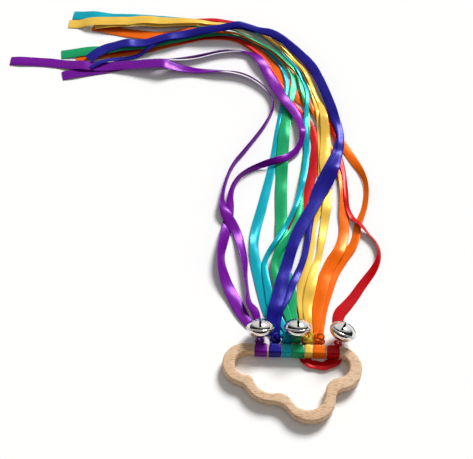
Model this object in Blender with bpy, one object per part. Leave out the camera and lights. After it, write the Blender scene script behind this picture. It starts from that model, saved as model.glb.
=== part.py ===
"""A cloud-shaped beech hand ring with seven satin ribbons tied along its bar and three jingle bells.

Metres, +Z up. The toy lies on the floor at z = 0 with its bar along X and its ribbons laid out towards +Y.
Sizes and places below are from the middle of the bar. The origin is below the middle of the ring and bells.
"""
import math

import bmesh
import bpy
from mathutils import Matrix, Vector
from mathutils.bvhtree import BVHTree

MM = 0.001

# Clearances
SEAT_GAP = 0.0003
LAY_GAP = 0.00045
FLOOR_GAP = 0.0002

# Beech ring: a lobe is a centre x, a centre y and a radius. The lobes beside the bar take their height from it.
RING_THICKNESS = 0.0080
BAR_WIDTH = 0.0072
EDGE_ROUND = 0.0014
OUTER_LEFT_LOBE = (-0.0350, 0.0160)
OUTER_BUMP_LOBE = (-0.0145, -0.0207, 0.0217)
OUTER_DEEP_LOBE = (0.0134, -0.0372, 0.0190)
OUTER_RIGHT_LOBE = (0.0346, 0.0174)
OUTER_DIP_RADII = (0.0090, 0.0140, 0.0070)
HOLE_LEFT_LOBE = (-0.0327, 0.0091)
HOLE_BUMP_LOBE = (-0.0137, -0.0208, 0.0147)
HOLE_DEEP_LOBE = (0.0118, -0.0345, 0.0130)
HOLE_RIGHT_LOBE = (0.0338, 0.0090)
HOLE_DIP_RADII = (0.0060, 0.0110, 0.0120)
LOBE_STEPS = (16, 7, 14, 16)
DIP_STEPS = 5

# Ribbons: each one is wrapped once round the bar. A tucked width is hidden under the next wrap.
RIBBON_WIDTH = 0.0100
RIBBON_SOLID_THICKNESS = 0.0004
WRAP_PULL_IN = 0.0006
WRAPS_MIDDLE = 0.0040
WRAP_CORNER = 0.0018
COLOURS = ("violet", "blue", "turquoise", "green", "yellow", "orange", "red")
TUCKED_WIDTH = {"turquoise": 0.0024, "yellow": 0.0036}
BARE_BAR_AFTER = {"violet": 0.0012, "orange": 0.0009}
WRAP_GAP = 0.0003

# Knots behind the bar: a plain knot is a gathered lump, a bell knot is a ring of ribbon through the bell's loop.
KNOT_HALF_WIDTH = 0.0034
KNOT_HALF_DEPTH = 0.0024
KNOT_HALF_HEIGHT = 0.0030
KNOT_PLEATS = 5
KNOT_PLEAT_DEPTH = 0.0003
TIE_HALF_WIDTH = 0.0026
TIE_HALF_HEIGHT = 0.0025
TIE_STRAND_RADIUS = 0.0008
TIE_SIDE_RADIUS = 0.0014

# Tails, gathered where they leave the knot
TAIL_SPREAD = 0.0019
TAIL_GATHERED_WIDTH = 0.0032
TAIL_LEAD = 0.004
TAIL_START_HEIGHT = 0.0014
TAIL_UNDER_KNOT = 0.0014
STATION_PITCH = 0.0095
FIRST_PITCH = 0.0035
PITCH_GROWTH = 1.2
SAG_PER_STATION = 0.0005
RELAX_ROUNDS = 300
LAST_LIFTS = 20
LAY_STEPS = 6
STEEPEST = 0.3

# The red ribbon leaves a slack turn inside the ring before one of its tails goes under the bar
SLACK_TAIL = "red_left"
SLACK_TUCK = 0.0010
SLACK_SHOWN_WIDTH = 0.0050
SLACK_TILT = math.radians(40)
SLACK_BULGE = 0.0078

# Jingle bells
BELL_RADIUS = 0.0102
BELL_HALF_HEIGHT = 0.0071
BELL_WALL = 0.00045
RIM_HEIGHT = 0.0011
RIM_OVERHANG = 0.0004
SLOT_WIDTH = 0.0017
SLOT_END_RADIUS = 0.0021
SLOT_END_ABOVE_RIM = 0.0019
SLOT_END_RISE = 0.0009
SLOT_END_SIDES = 10
DOME_POLE_RADIUS = 0.0001
LOOP_RADIUS = 0.0015
LOOP_WIRE_RADIUS = 0.0004
LOOP_LEG_OFFSET = 0.00056
LOOP_STAND_OFF = 0.0001
LEG_SPLAY = 0.0020
PEA_ROOM = 0.0048
BELL_RISE = math.radians(42)
BELL_TIE_SIDE = {"left": -0.0010, "middle": -0.0005, "right": 0.0040}
BELL_TIE_BACK = {"left": 0.0, "middle": 0.0010, "right": 0.0}
BELL_TURN = {"left": 0.0, "middle": 0.0, "right": math.radians(-28)}
BELL_ON = {"violet": "left", "green": "middle", "red": "right"}
BELL_SEGMENTS = 24

SHARP_FROM = math.radians(38)

COLOUR_VALUES = {
    "violet": (0.26, 0.02, 0.40), "blue": (0.04, 0.04, 0.38), "turquoise": (0.0, 0.42, 0.53),
    "green": (0.02, 0.35, 0.17), "yellow": (0.93, 0.60, 0.12), "orange": (0.90, 0.18, 0.01),
    "red": (0.62, 0.01, 0.02), "beech": (0.66, 0.44, 0.26), "nickel": (0.75, 0.74, 0.72),
}

# Each tail from its knot to its cut end: x and y in millimetres, the tilt of the ribbon in degrees and the width
# it shows in millimetres, which is less than the ribbon's own where it is folded along its length. A tilt of 0
# lies flat, and a positive one lifts the ribbon's left edge. The lowest tail comes first.
TAILS = {
    "orange_right": [
        (23, 37, 0, 9), (27, 53, 0, 10), (33, 71, 0, 10), (42, 86, -5, 9), (50, 98, -15, 7), (53, 114, -10, 6),
        (59, 132, -30, 5), (61, 149, -45, 5), (59, 163, -40, 5), (52, 178, -10, 7), (45, 192, 0, 8),
        (36, 208, 0, 7), (24, 225, 0, 6), (12, 238, 0, 8), (1, 251, 0, 10), (-10, 268, 0, 10), (-24, 290, 0, 9),
        (-39, 305, 0, 7), (-56, 314, 0, 6), (-81, 314, 0, 5), (-99, 309, 0, 6), (-117, 304, 0, 8),
        (-139, 297, 0, 10), (-166, 292, 0, 10), (-196, 286, 0, 10)],
    "red_left": [
        (0, 45, 0, 7), (-4, 61, 0, 6), (-6, 80, 0, 6), (-4, 96, 0, 7), (0, 109, 0, 8), (6, 129, 0, 9),
        (13, 151, 0, 9), (18, 174, 0, 9), (20, 195, 0, 8), (16, 213, 0, 7), (9, 225, 0, 7), (1, 237, 0, 6),
        (-8, 253, 0, 5), (-17, 270, 0, 4), (-26, 288, 5, 4), (-37, 301, 10, 4), (-53, 312, 15, 4),
        (-74, 314, 5, 4), (-94, 310, 0, 5), (-121, 304, 0, 6), (-148, 297, 0, 8), (-171, 293, 0, 9)],
    "turquoise_left": [
        (-17, 30, 0, 7), (-21, 46, 0, 9), (-25, 64, 0, 10), (-29, 80, 5, 8), (-30, 94, 20, 7), (-29, 109, 5, 8),
        (-25, 128, 0, 8), (-20, 154, 0, 7), (-16, 178, 0, 6), (-13, 205, 0, 5), (-10, 231, 0, 4),
        (-6, 250, 5, 4), (-6, 268, 20, 4), (-14, 287, 25, 4), (-31, 305, 25, 4), (-51, 315, 25, 4),
        (-74, 316, 10, 4), (-97, 311, 0, 5), (-121, 305, 0, 6), (-148, 298, 0, 8), (-168, 295, 0, 9)],
    "green_right": [
        (0, 34, 0, 8), (-1, 47, 0, 10), (-3, 60, 0, 10), (-7, 76, 0, 10), (-8, 98, 0, 10), (-9, 127, 0, 10),
        (-9, 161, 0, 10), (-8, 193, 0, 10), (-6, 218, 0, 9), (-3, 237, 5, 7), (1, 258, 15, 6), (0, 270, 25, 5),
        (-10, 289, 25, 4), (-28, 307, 25, 4), (-51, 315, 25, 4), (-72, 314, 10, 4), (-94, 310, 0, 4),
        (-117, 303, 0, 6), (-139, 299, 0, 8), (-161, 295, 0, 10), (-189, 292, 0, 10), (-210, 289, 0, 10)],
    "orange_left": [
        (20, 35, 0, 9), (22, 48, 0, 10), (25, 63, 0, 10), (32, 80, 0, 10), (38, 91, 0, 9), (42, 108, 5, 8),
        (42, 125, 15, 8), (43, 143, 25, 8), (41, 163, 15, 7), (37, 180, 0, 6), (30, 196, 0, 5), (24, 215, 0, 4),
        (17, 233, 5, 4), (10, 256, 10, 4), (4, 271, 20, 4), (-9, 286, 25, 4), (-29, 304, 25, 4),
        (-51, 313, 25, 4), (-76, 318, 10, 6), (-104, 317, 0, 9), (-127, 315, 0, 10), (-150, 317, 0, 10),
        (-170, 321, 0, 10), (-185, 324, 0, 10)],
    "green_left": [
        (-6, 39, 0, 6), (-10, 53, 0, 6), (-13, 68, 10, 6), (-13, 80, 20, 6), (-8, 91, 25, 6), (0, 106, 20, 6),
        (6, 123, 10, 6), (7, 147, 0, 5), (10, 172, 0, 5), (12, 196, 0, 5), (13, 223, 5, 4), (11, 238, 10, 4),
        (8, 254, 15, 4), (3, 275, 25, 4), (-10, 288, 25, 4), (-30, 306, 25, 4), (-52, 315, 25, 4),
        (-86, 328, 10, 5), (-119, 333, 0, 8), (-161, 335, 0, 10), (-197, 336, 0, 10)],
    "turquoise_right": [
        (-10, 29, 0, 6), (-15, 38, 0, 7), (-18, 52, 0, 6), (-21, 70, 0, 5), (-21, 81, 0, 4), (-16, 90, 0, 4),
        (-6, 109, 0, 4), (2, 127, 0, 4), (7, 147, 0, 5), (11, 171, 0, 5), (12, 193, 0, 5), (11, 211, 5, 4),
        (12, 230, 10, 4), (13, 247, 20, 4), (8, 268, 25, 4), (-5, 292, 25, 4), (-28, 317, 25, 4),
        (-51, 329, 25, 4), (-73, 333, 15, 4), (-100, 334, 5, 6), (-133, 335, 0, 8), (-161, 335, 0, 10),
        (-182, 336, 0, 10), (-205, 338, 0, 10)],
    "red_right": [
        (36, 32, 0, 9), (46, 46, 0, 8), (55, 60, 5, 7), (64, 73, 25, 6), (69, 85, 45, 5), (68, 97, 60, 5),
        (59, 109, 45, 5), (49, 121, 20, 5), (45, 132, 20, 4), (44, 147, 25, 4), (43, 164, 15, 4),
        (40, 181, 5, 5), (37, 199, 5, 4), (34, 222, 10, 5), (30, 243, 15, 5), (21, 266, 25, 4), (8, 289, 25, 4),
        (-13, 311, 25, 4), (-34, 326, 25, 4), (-54, 333, 20, 4), (-77, 334, 10, 6), (-97, 331, 5, 6),
        (-119, 329, 0, 7), (-151, 327, 0, 8), (-183, 324, 0, 10)],
    "yellow_left": [
        (9, 32, 0, 7), (8, 48, 0, 8), (10, 65, 0, 9), (12, 81, 0, 8), (15, 97, 0, 8), (16, 114, 0, 8),
        (22, 133, 0, 8), (25, 157, 0, 8), (25, 182, 0, 7), (24, 209, 0, 6), (21, 233, 10, 4), (16, 255, 20, 4),
        (7, 278, 25, 4), (-5, 295, 25, 4), (-27, 316, 25, 4), (-50, 323, 25, 4), (-81, 326, 10, 5),
        (-109, 327, 0, 8), (-146, 327, 0, 10), (-183, 324, 0, 10)],
    "yellow_right": [
        (12, 36, 0, 7), (14, 51, 0, 8), (18, 72, 0, 7), (22, 87, 8, 5), (24, 100, 8, 6), (27, 121, 5, 7),
        (29, 140, 5, 8), (28, 158, 0, 8), (27, 178, 0, 9), (28, 196, 0, 8), (27, 217, 0, 7), (24, 238, 10, 5),
        (17, 257, 20, 4), (7, 280, 25, 4), (-6, 299, 25, 4), (-27, 317, 25, 4), (-50, 324, 25, 4),
        (-77, 328, 15, 5), (-100, 328, 5, 7), (-132, 329, 0, 9), (-169, 327, 0, 10), (-208, 327, 0, 10)],
    "violet_left": [
        (-37, 30, 5, 9), (-45, 45, 10, 10), (-52, 61, 30, 10), (-56, 80, 55, 10), (-54, 99, 35, 9),
        (-51, 123, 5, 7), (-50, 143, 55, 6), (-44, 157, 75, 6), (-31, 168, 70, 6), (-10, 176, 25, 6),
        (4, 188, 10, 5), (8, 203, 10, 5), (3, 225, 5, 8), (-8, 240, 5, 9), (-21, 268, 5, 9), (-33, 289, 15, 8),
        (-45, 297, 40, 6), (-65, 296, 65, 6), (-93, 287, 65, 7), (-129, 282, 25, 10), (-166, 274, 0, 10),
        (-206, 264, 0, 10)],
    "violet_right": [
        (-28, 33, 15, 7), (-32, 38, 45, 9), (-34, 50, 62, 6), (-36, 64, 58, 6), (-38, 81, 35, 7),
        (-44, 103, 10, 8), (-50, 114, 0, 9), (-55, 123, 10, 8), (-57, 134, 50, 6), (-56, 148, 68, 5),
        (-50, 169, 70, 5), (-39, 187, 72, 5), (-26, 209, 74, 5), (-19, 225, 76, 5), (-17, 239, 76, 5),
        (-23, 253, 72, 5), (-37, 266, 65, 6), (-54, 272, 55, 7), (-79, 273, 25, 8), (-110, 275, 5, 10),
        (-151, 276, 0, 10), (-188, 275, 0, 10), (-219, 279, 0, 10), (-255, 280, 0, 10)],
    "blue_right": [
        (-10, 31, 0, 6), (-5, 42, 0, 6), (2, 61, 0, 6), (9, 80, 5, 5), (12, 95, 5, 5), (14, 110, 5, 5),
        (17, 132, 0, 6), (19, 144, 0, 7), (25, 159, 0, 7), (32, 175, 0, 6), (38, 194, 5, 5), (41, 208, 10, 5),
        (36, 226, 15, 7), (27, 255, 15, 7), (17, 280, 15, 7), (-1, 302, 15, 6), (-21, 313, 10, 5),
        (-34, 317, 10, 5), (-49, 318, 5, 5), (-72, 316, 0, 5), (-94, 312, 0, 5), (-116, 305, 0, 4),
        (-130, 296, 0, 4), (-144, 288, 0, 4), (-168, 281, 0, 4), (-181, 272, 0, 4)],
    "blue_left": [
        (-15, 28, 0, 8), (-11, 42, 0, 10), (-7, 61, 0, 10), (-1, 86, -5, 9), (5, 105, -5, 10), (13, 122, 0, 10),
        (22, 141, 0, 10), (32, 161, 0, 10), (38, 180, 5, 7), (41, 201, 15, 6), (35, 227, 18, 8),
        (26, 256, 18, 8), (16, 280, 15, 8), (-2, 302, 15, 8), (-21, 314, 15, 7), (-34, 317, 15, 6),
        (-49, 319, 10, 6), (-72, 316, 5, 7), (-94, 313, 0, 8), (-114, 307, 0, 8), (-139, 300, 0, 9),
        (-168, 295, 0, 10), (-177, 289, 0, 10), (-184, 282, 0, 10)],
}

# Worked out from the sizes above
WRAP_BUILD = SEAT_GAP + RIBBON_SOLID_THICKNESS
BAR_HEIGHT = RING_THICKNESS / 2 + WRAP_BUILD
WRAP_REACH = math.hypot(
    BAR_WIDTH / 2 + WRAP_BUILD - WRAP_CORNER, RING_THICKNESS / 2 + WRAP_BUILD - WRAP_CORNER) + WRAP_CORNER
SWING_RADIUS = WRAP_REACH + SEAT_GAP
KNOT_BACK = SWING_RADIUS + 2 * KNOT_HALF_DEPTH
TIE_DEPTH = SWING_RADIUS + TIE_SIDE_RADIUS
TIE_HEIGHT = TIE_SIDE_RADIUS + 2 * TIE_HALF_HEIGHT + 2 * SEAT_GAP + RIBBON_SOLID_THICKNESS
PEA_RADIUS = BELL_HALF_HEIGHT - PEA_ROOM
LOOP_TO_CENTRE = BELL_HALF_HEIGHT + LOOP_RADIUS + LOOP_STAND_OFF
RING_LEFT = OUTER_LEFT_LOBE[0] - OUTER_LEFT_LOBE[1]
RING_RIGHT = OUTER_RIGHT_LOBE[0] + OUTER_RIGHT_LOBE[1]
RING_FRONT = OUTER_DEEP_LOBE[1] - OUTER_DEEP_LOBE[2]
BELLS_BACK = TIE_DEPTH + max(BELL_TIE_BACK.values()) + LOOP_TO_CENTRE * math.cos(BELL_RISE) + math.hypot(
    BELL_HALF_HEIGHT * math.cos(BELL_RISE), BELL_RADIUS * math.sin(BELL_RISE))
TO_ORIGIN = Vector((-(RING_LEFT + RING_RIGHT) / 2, -(RING_FRONT + BELLS_BACK) / 2, 0.0))


def clear_scene():
    for item in list(bpy.data.objects):
        bpy.data.objects.remove(item, do_unlink=True)


def material(name, colour, roughness, metallic=0.0):
    made = bpy.data.materials.new(name)
    made.use_nodes = True
    shader = made.node_tree.nodes["Principled BSDF"]
    shader.inputs["Base Color"].default_value = (*colour, 1.0)
    shader.inputs["Roughness"].default_value = roughness
    shader.inputs["Metallic"].default_value = metallic
    return made


def ribbon_material(colour):
    return material(colour + "_satin", COLOUR_VALUES[colour], 0.35)


def solid(name, points, faces, surface, parent=None):
    """One closed object. Its points are from the middle of the bar, and a parent's place is taken off them."""
    mesh = bpy.data.meshes.new(name)
    origin = parent.location if parent else Vector((0, 0, 0))
    mesh.from_pydata([Vector(p) + TO_ORIGIN - origin for p in points], [], faces)
    shape = bmesh.new()
    shape.from_mesh(mesh)
    bmesh.ops.recalc_face_normals(shape, faces=shape.faces)
    shape.to_mesh(mesh)
    shape.free()
    mesh.shade_smooth()
    mesh.set_sharp_from_angle(angle=SHARP_FROM)
    mesh.materials.append(surface)
    made = bpy.data.objects.new(name, mesh)
    made.parent = parent
    bpy.context.scene.collection.objects.link(made)
    return made


def pivot(name, place):
    made = bpy.data.objects.new(name, None)
    made.location = Vector(place) + TO_ORIGIN
    made.empty_display_size = 0.01
    bpy.context.scene.collection.objects.link(made)
    return made


def rows_to_faces(rows, count, closed_rows=False):
    """Four-sided faces over rows of points, each row a closed loop of the same count."""
    faces = []
    last = rows if closed_rows else rows - 1
    for row in range(last):
        above = (row + 1) % rows
        for i in range(count):
            j = (i + 1) % count
            faces.append((row * count + i, row * count + j, above * count + j, above * count + i))
    return faces


def arc(centre, radius, start, end, steps):
    angles = [start + (end - start) * i / steps for i in range(steps + 1)]
    return [(centre[0] + radius * math.cos(a), centre[1] + radius * math.sin(a)) for a in angles]


def dip_centre(first, second, dip):
    """The centre of the arc that joins two lobes, on the outer side of the way from the first to the second."""
    near, far = first[2] + dip, second[2] + dip
    along = Vector((second[0] - first[0], second[1] - first[1]))
    span = along.length
    along.normalize()
    reach = (near * near - far * far + span * span) / (2 * span)
    side = math.sqrt(near * near - reach * reach)
    return (first[0] + along.x * reach + along.y * side, first[1] + along.y * reach - along.x * side)


def heading(start, end):
    return math.atan2(end[1] - start[1], end[0] - start[0])


def lobed_outline(lobes, dips, grow):
    """Lobes joined by dips, from the left end of the bar round to its right end, grown outwards by a distance."""
    joins = [dip_centre(lobes[i], lobes[i + 1], dips[i]) for i in range(len(dips))]
    points = []
    for i, lobe in enumerate(lobes):
        start = heading(lobe, joins[i - 1]) if i else math.pi / 2
        end = heading(lobe, joins[i]) if i < len(joins) else math.pi / 2
        while end <= start:
            end += 2 * math.pi
        points += arc(lobe, lobe[2] + grow, start, end, LOBE_STEPS[i])
        if i < len(joins):
            start = heading(joins[i], lobe)
            end = heading(joins[i], lobes[i + 1])
            while end >= start:
                end -= 2 * math.pi
            points += arc(joins[i], dips[i] - grow, start, end, DIP_STEPS)[1:-1]
    return points


def ring_lobes(left, bump, deep, right, bar_edge):
    return (
        (left[0], bar_edge - left[1], left[1]), bump, deep, (right[0], bar_edge - right[1], right[1]))


def build_ring():
    outer = ring_lobes(OUTER_LEFT_LOBE, OUTER_BUMP_LOBE, OUTER_DEEP_LOBE, OUTER_RIGHT_LOBE, BAR_WIDTH / 2)
    hole = ring_lobes(HOLE_LEFT_LOBE, HOLE_BUMP_LOBE, HOLE_DEEP_LOBE, HOLE_RIGHT_LOBE, -BAR_WIDTH / 2)
    turns = [0.0, math.pi / 4, math.pi / 2]
    profile = [(EDGE_ROUND * (1 - math.sin(a)), EDGE_ROUND * (1 - math.cos(a))) for a in turns]
    profile += [(inset, RING_THICKNESS - rise) for inset, rise in reversed(profile)]
    underside = BAR_HEIGHT - RING_THICKNESS / 2
    loops = [(lobed_outline(outer, OUTER_DIP_RADII, -inset), rise) for inset, rise in profile]
    loops += [(lobed_outline(hole, HOLE_DIP_RADII, inset), rise) for inset, rise in reversed(profile)]
    points = [(x, y, underside + rise) for outline, rise in loops for x, y in outline]
    faces = rows_to_faces(len(loops), len(loops[0][0]), closed_rows=True)
    solid("cloud_ring", points, faces, material("beech", COLOUR_VALUES["beech"], 0.55))


def wrap_section(half_y, half_z, corner, back):
    """A rounded section round the bar. Its back reaches out to where the ribbon is gathered into its knot."""
    corners = ((1, 1, 0), (-1, 1, 1), (-1, -1, 2), (1, -1, 3))
    points = []
    for y_side, z_side, quarter in corners:
        centre = (y_side * (half_y - corner), z_side * (half_z - corner))
        points += arc(centre, corner, quarter * math.pi / 2, (quarter + 1) * math.pi / 2, 3)
    for share in (-0.5, 0.0, 0.5):
        points.append((half_y + (back - half_y) * (1 - share * share), share * (half_z - corner)))
    return points


def wrap_places():
    """The middle and the width of each wrap along the bar, centred as a row."""
    widths = {c: RIBBON_WIDTH - WRAP_PULL_IN - TUCKED_WIDTH.get(c, 0.0) for c in COLOURS}
    gaps = {c: BARE_BAR_AFTER.get(c, WRAP_GAP) for c in COLOURS[:-1]}
    edge = WRAPS_MIDDLE - (sum(widths.values()) + sum(gaps.values())) / 2
    places = {}
    for colour in COLOURS:
        places[colour] = (edge + widths[colour] / 2, widths[colour])
        edge += widths[colour] + gaps.get(colour, 0.0)
    return places


def build_wrap(colour, middle, width):
    inner_half = BAR_WIDTH / 2 + SEAT_GAP
    inner = wrap_section(inner_half, RING_THICKNESS / 2 + SEAT_GAP, WRAP_CORNER - RIBBON_SOLID_THICKNESS, inner_half)
    outer = wrap_section(BAR_WIDTH / 2 + WRAP_BUILD, RING_THICKNESS / 2 + WRAP_BUILD, WRAP_CORNER, WRAP_REACH)
    left, right = middle - width / 2, middle + width / 2
    loops = [(outer, left), (outer, right), (inner, right), (inner, left)]
    points = [(x, y, BAR_HEIGHT + z) for section, x in loops for y, z in section]
    faces = rows_to_faces(len(loops), len(inner), closed_rows=True)
    solid(colour + "_ribbon_wrap", points, faces, ribbon_material(colour))


def build_plain_knot(colour, middle, parent):
    """A pleated lump whose front is hollowed to clear the wraps as the ribbons swing."""
    around, rows = 14, 8
    centre_y = SWING_RADIUS + KNOT_HALF_DEPTH
    points = []
    for row in range(1, rows):
        tilt = math.pi * row / rows
        for i in range(around):
            turn = 2 * math.pi * i / around
            pleat = 1 + KNOT_PLEAT_DEPTH / KNOT_HALF_HEIGHT * math.cos(KNOT_PLEATS * tilt)
            y = centre_y + KNOT_HALF_DEPTH * math.sin(tilt) * math.cos(turn)
            z = KNOT_HALF_HEIGHT * math.sin(tilt) * math.sin(turn) * pleat
            y = max(y, math.sqrt(SWING_RADIUS ** 2 - z ** 2))
            points.append((middle + KNOT_HALF_WIDTH * math.cos(tilt), y, BAR_HEIGHT + z))
    faces = rows_to_faces(rows - 1, around)
    right_pole, left_pole = len(points), len(points) + 1
    points += [(middle + KNOT_HALF_WIDTH, centre_y, BAR_HEIGHT), (middle - KNOT_HALF_WIDTH, centre_y, BAR_HEIGHT)]
    last = (rows - 2) * around
    for i in range(around):
        j = (i + 1) % around
        faces.append((right_pole, j, i))
        faces.append((left_pole, last + i, last + j))
    solid(colour + "_ribbon_knot", points, faces, ribbon_material(colour), parent)


def tie_place(colour, middle):
    """The middle of the strand that goes through the bell's loop."""
    bell = BELL_ON[colour]
    return Vector((middle + BELL_TIE_SIDE[bell], TIE_DEPTH + BELL_TIE_BACK[bell], TIE_HEIGHT))


def build_bell_knot(colour, middle, parent):
    """A ring of gathered ribbon, thin on top where it goes through the bell's loop."""
    around, sides = 18, 8
    strand = tie_place(colour, middle)
    turned = Matrix.Rotation(BELL_TURN[BELL_ON[colour]], 4, "Z")
    points = []
    for i in range(around):
        turn = 2 * math.pi * i / around
        thick = TIE_STRAND_RADIUS + (TIE_SIDE_RADIUS - TIE_STRAND_RADIUS) * (1 - math.cos(turn)) / 2
        for k in range(sides):
            lean = 2 * math.pi * k / sides
            out = thick * math.cos(lean)
            ring_point = Vector((
                (TIE_HALF_WIDTH + out) * math.sin(turn), thick * math.sin(lean),
                (TIE_HALF_HEIGHT + out) * math.cos(turn) - TIE_HALF_HEIGHT))
            points.append(strand + turned @ ring_point)
    faces = rows_to_faces(around, sides, closed_rows=True)
    solid(colour + "_ribbon_knot", points, faces, ribbon_material(colour), parent)


def bell_frame(bell, strand):
    """Places the bell's own axes, with its local Z from the loop to the slotted dome, at the bell's middle."""
    turn = Matrix.Rotation(BELL_TURN[bell], 4, "Z")
    lean = Matrix.Rotation(BELL_RISE - math.pi / 2, 4, "X")
    axes = turn @ lean
    return Matrix.Translation(strand + axes @ Vector((0, 0, LOOP_TO_CENTRE))) @ axes


def lathe(profile, segments):
    points = []
    for radius, height in profile:
        for i in range(segments):
            turn = 2 * math.pi * i / segments
            points.append(Vector((radius * math.cos(turn), radius * math.sin(turn), height)))
    return points, rows_to_faces(len(profile), segments, closed_rows=True)


def dome_profile(radius, half_height, pole_radius, steps):
    """Points on a flattened dome from its equator to a small circle about its pole."""
    last = math.acos(pole_radius / radius)
    return [(radius * math.cos(last * i / steps), half_height * math.sin(last * i / steps)) for i in range(steps + 1)]


def hide_cutter(cutter):
    cutter.hide_render = True
    cutter.display_type = "WIRE"


def cut(target, cutter):
    change = target.modifiers.new("cut_" + cutter.name, "BOOLEAN")
    change.operation = "DIFFERENCE"
    change.solver = "EXACT"
    change.object = cutter
    hide_cutter(cutter)


def build_bell_crown(bell, frame, nickel, parent):
    hole = LOOP_LEG_OFFSET + LOOP_WIRE_RADIUS + SEAT_GAP
    outer = dome_profile(BELL_RADIUS, BELL_HALF_HEIGHT, hole, 6)
    inner = dome_profile(BELL_RADIUS - BELL_WALL, BELL_HALF_HEIGHT - BELL_WALL, hole, 6)
    profile = [(r, -h - SEAT_GAP / 2) for r, h in outer] + [(r, -h - SEAT_GAP / 2) for r, h in reversed(inner)]
    points, faces = lathe(profile, BELL_SEGMENTS)
    solid("bell_" + bell + "_crown", [frame @ p for p in points], faces, nickel, parent)


def build_bell_dome(bell, frame, nickel, parent):
    outer = dome_profile(BELL_RADIUS, BELL_HALF_HEIGHT, DOME_POLE_RADIUS, 7)
    inner = dome_profile(BELL_RADIUS - BELL_WALL, BELL_HALF_HEIGHT - BELL_WALL, DOME_POLE_RADIUS, 7)
    lip = BELL_RADIUS + RIM_OVERHANG
    rim = [(lip, SEAT_GAP / 2), (lip, SEAT_GAP / 2 + RIM_HEIGHT)]
    above = [(r, h) for r, h in outer if h > SEAT_GAP / 2 + RIM_HEIGHT + RIM_OVERHANG]
    profile = rim + above + [(r, h + SEAT_GAP / 2) for r, h in reversed(inner)]
    points, faces = lathe(profile, BELL_SEGMENTS)
    dome = solid("bell_" + bell + "_slotted_dome", [frame @ p for p in points], faces, nickel, parent)
    reach = BELL_RADIUS + RIM_OVERHANG
    floor_z = SEAT_GAP / 2 + RIM_HEIGHT + SLOT_END_ABOVE_RIM
    for number in range(2):
        turn = Matrix.Rotation(number * math.pi / 2, 4, "Z")
        corners = [(x, y, z) for x in (-SLOT_WIDTH / 2, SLOT_WIDTH / 2) for y in (-reach, reach)
                   for z in (floor_z, BELL_HALF_HEIGHT * 2)]
        box_faces = [(0, 1, 3, 2), (4, 6, 7, 5), (0, 4, 5, 1), (2, 3, 7, 6), (0, 2, 6, 4), (1, 5, 7, 3)]
        slot = solid(f"cutter_{bell}_slot_{number}", [frame @ turn @ Vector(c) for c in corners], box_faces,
                     nickel, parent)
        cut(dome, slot)
        ends = []
        for end in (-reach, reach):
            for i in range(SLOT_END_SIDES):
                a = 2 * math.pi * i / SLOT_END_SIDES
                ends.append(Vector((SLOT_END_RADIUS * math.cos(a), end,
                                    floor_z + SLOT_END_RISE + SLOT_END_RADIUS * math.sin(a))))
        drill_faces = rows_to_faces(2, SLOT_END_SIDES)
        drill_faces += [tuple(range(SLOT_END_SIDES - 1, -1, -1)), tuple(range(SLOT_END_SIDES, 2 * SLOT_END_SIDES))]
        drill = solid(f"cutter_{bell}_drill_{number}", [frame @ turn @ p for p in ends], drill_faces, nickel, parent)
        cut(dome, drill)


def tube(path, side, radius, sides):
    """A closed round tube along a flat path, whose flat is square to the side vector."""
    points = []
    for i, place in enumerate(path):
        ahead = path[min(i + 1, len(path) - 1)] - path[max(i - 1, 0)]
        across = ahead.normalized().cross(side)
        for k in range(sides):
            turn = 2 * math.pi * k / sides
            points.append(place + radius * (math.cos(turn) * side + math.sin(turn) * across))
    faces = rows_to_faces(len(path), sides)
    faces += [tuple(range(sides - 1, -1, -1)), tuple(range(len(points) - sides, len(points)))]
    return points, faces


def build_bell_loop(bell, frame, nickel, parent):
    """A wire bent in a loop, with both legs through the crown's hole and splayed inside."""
    crown = -BELL_HALF_HEIGHT
    middle = crown - LOOP_STAND_OFF - LOOP_RADIUS
    opening = math.asin(LOOP_LEG_OFFSET / LOOP_RADIUS)
    inside = crown + BELL_WALL + 2 * LOOP_WIRE_RADIUS + 2 * SEAT_GAP
    bow = [(LOOP_RADIUS * math.sin(a), middle + LOOP_RADIUS * math.cos(a)) for a in
           [opening + (2 * math.pi - 2 * opening) * i / 18 for i in range(19)]]
    leg = [(LEG_SPLAY, inside + SEAT_GAP), (LOOP_LEG_OFFSET + LOOP_WIRE_RADIUS, inside),
           (LOOP_LEG_OFFSET, inside - LOOP_WIRE_RADIUS)]
    flat = leg + bow + [(-y, z) for y, z in reversed(leg)]
    path = [frame @ Vector((0, y, z)) for y, z in flat]
    side = (frame.to_3x3() @ Vector((1, 0, 0))).normalized()
    points, faces = tube(path, side, LOOP_WIRE_RADIUS, 8)
    solid("bell_" + bell + "_loop", points, faces, nickel, parent)


def pea_rest(frame):
    """The pea rests on the lowest part of the bell's inside, straight below its middle."""
    room = BELL_WALL + PEA_RADIUS + SEAT_GAP * 2
    wide, tall = BELL_RADIUS - room, BELL_HALF_HEIGHT - room
    drop = 1 / math.sqrt((math.cos(BELL_RISE) / wide) ** 2 + (math.sin(BELL_RISE) / tall) ** 2)
    return frame.translation - Vector((0, 0, drop)), drop


def build_pea(bell, frame, nickel):
    centre, drop = pea_rest(frame)
    print("pea", bell, "rest", [round(v, 5) for v in centre + TO_ORIGIN], "travel", round(2 * drop, 5))
    mover = pivot("pea_" + bell + "_pivot", centre)
    rows, around = 6, 10
    points = []
    for row in range(1, rows):
        tilt = math.pi * row / rows
        for i in range(around):
            turn = 2 * math.pi * i / around
            points.append(centre + PEA_RADIUS * Vector((
                math.sin(tilt) * math.cos(turn), math.sin(tilt) * math.sin(turn), math.cos(tilt))))
    faces = rows_to_faces(rows - 1, around)
    top, bottom = len(points), len(points) + 1
    points += [centre + Vector((0, 0, PEA_RADIUS)), centre - Vector((0, 0, PEA_RADIUS))]
    last = (rows - 2) * around
    for i in range(around):
        j = (i + 1) % around
        faces.append((top, j, i))
        faces.append((bottom, last + i, last + j))
    solid("bell_" + bell + "_pea", points, faces, nickel, mover)


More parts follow.
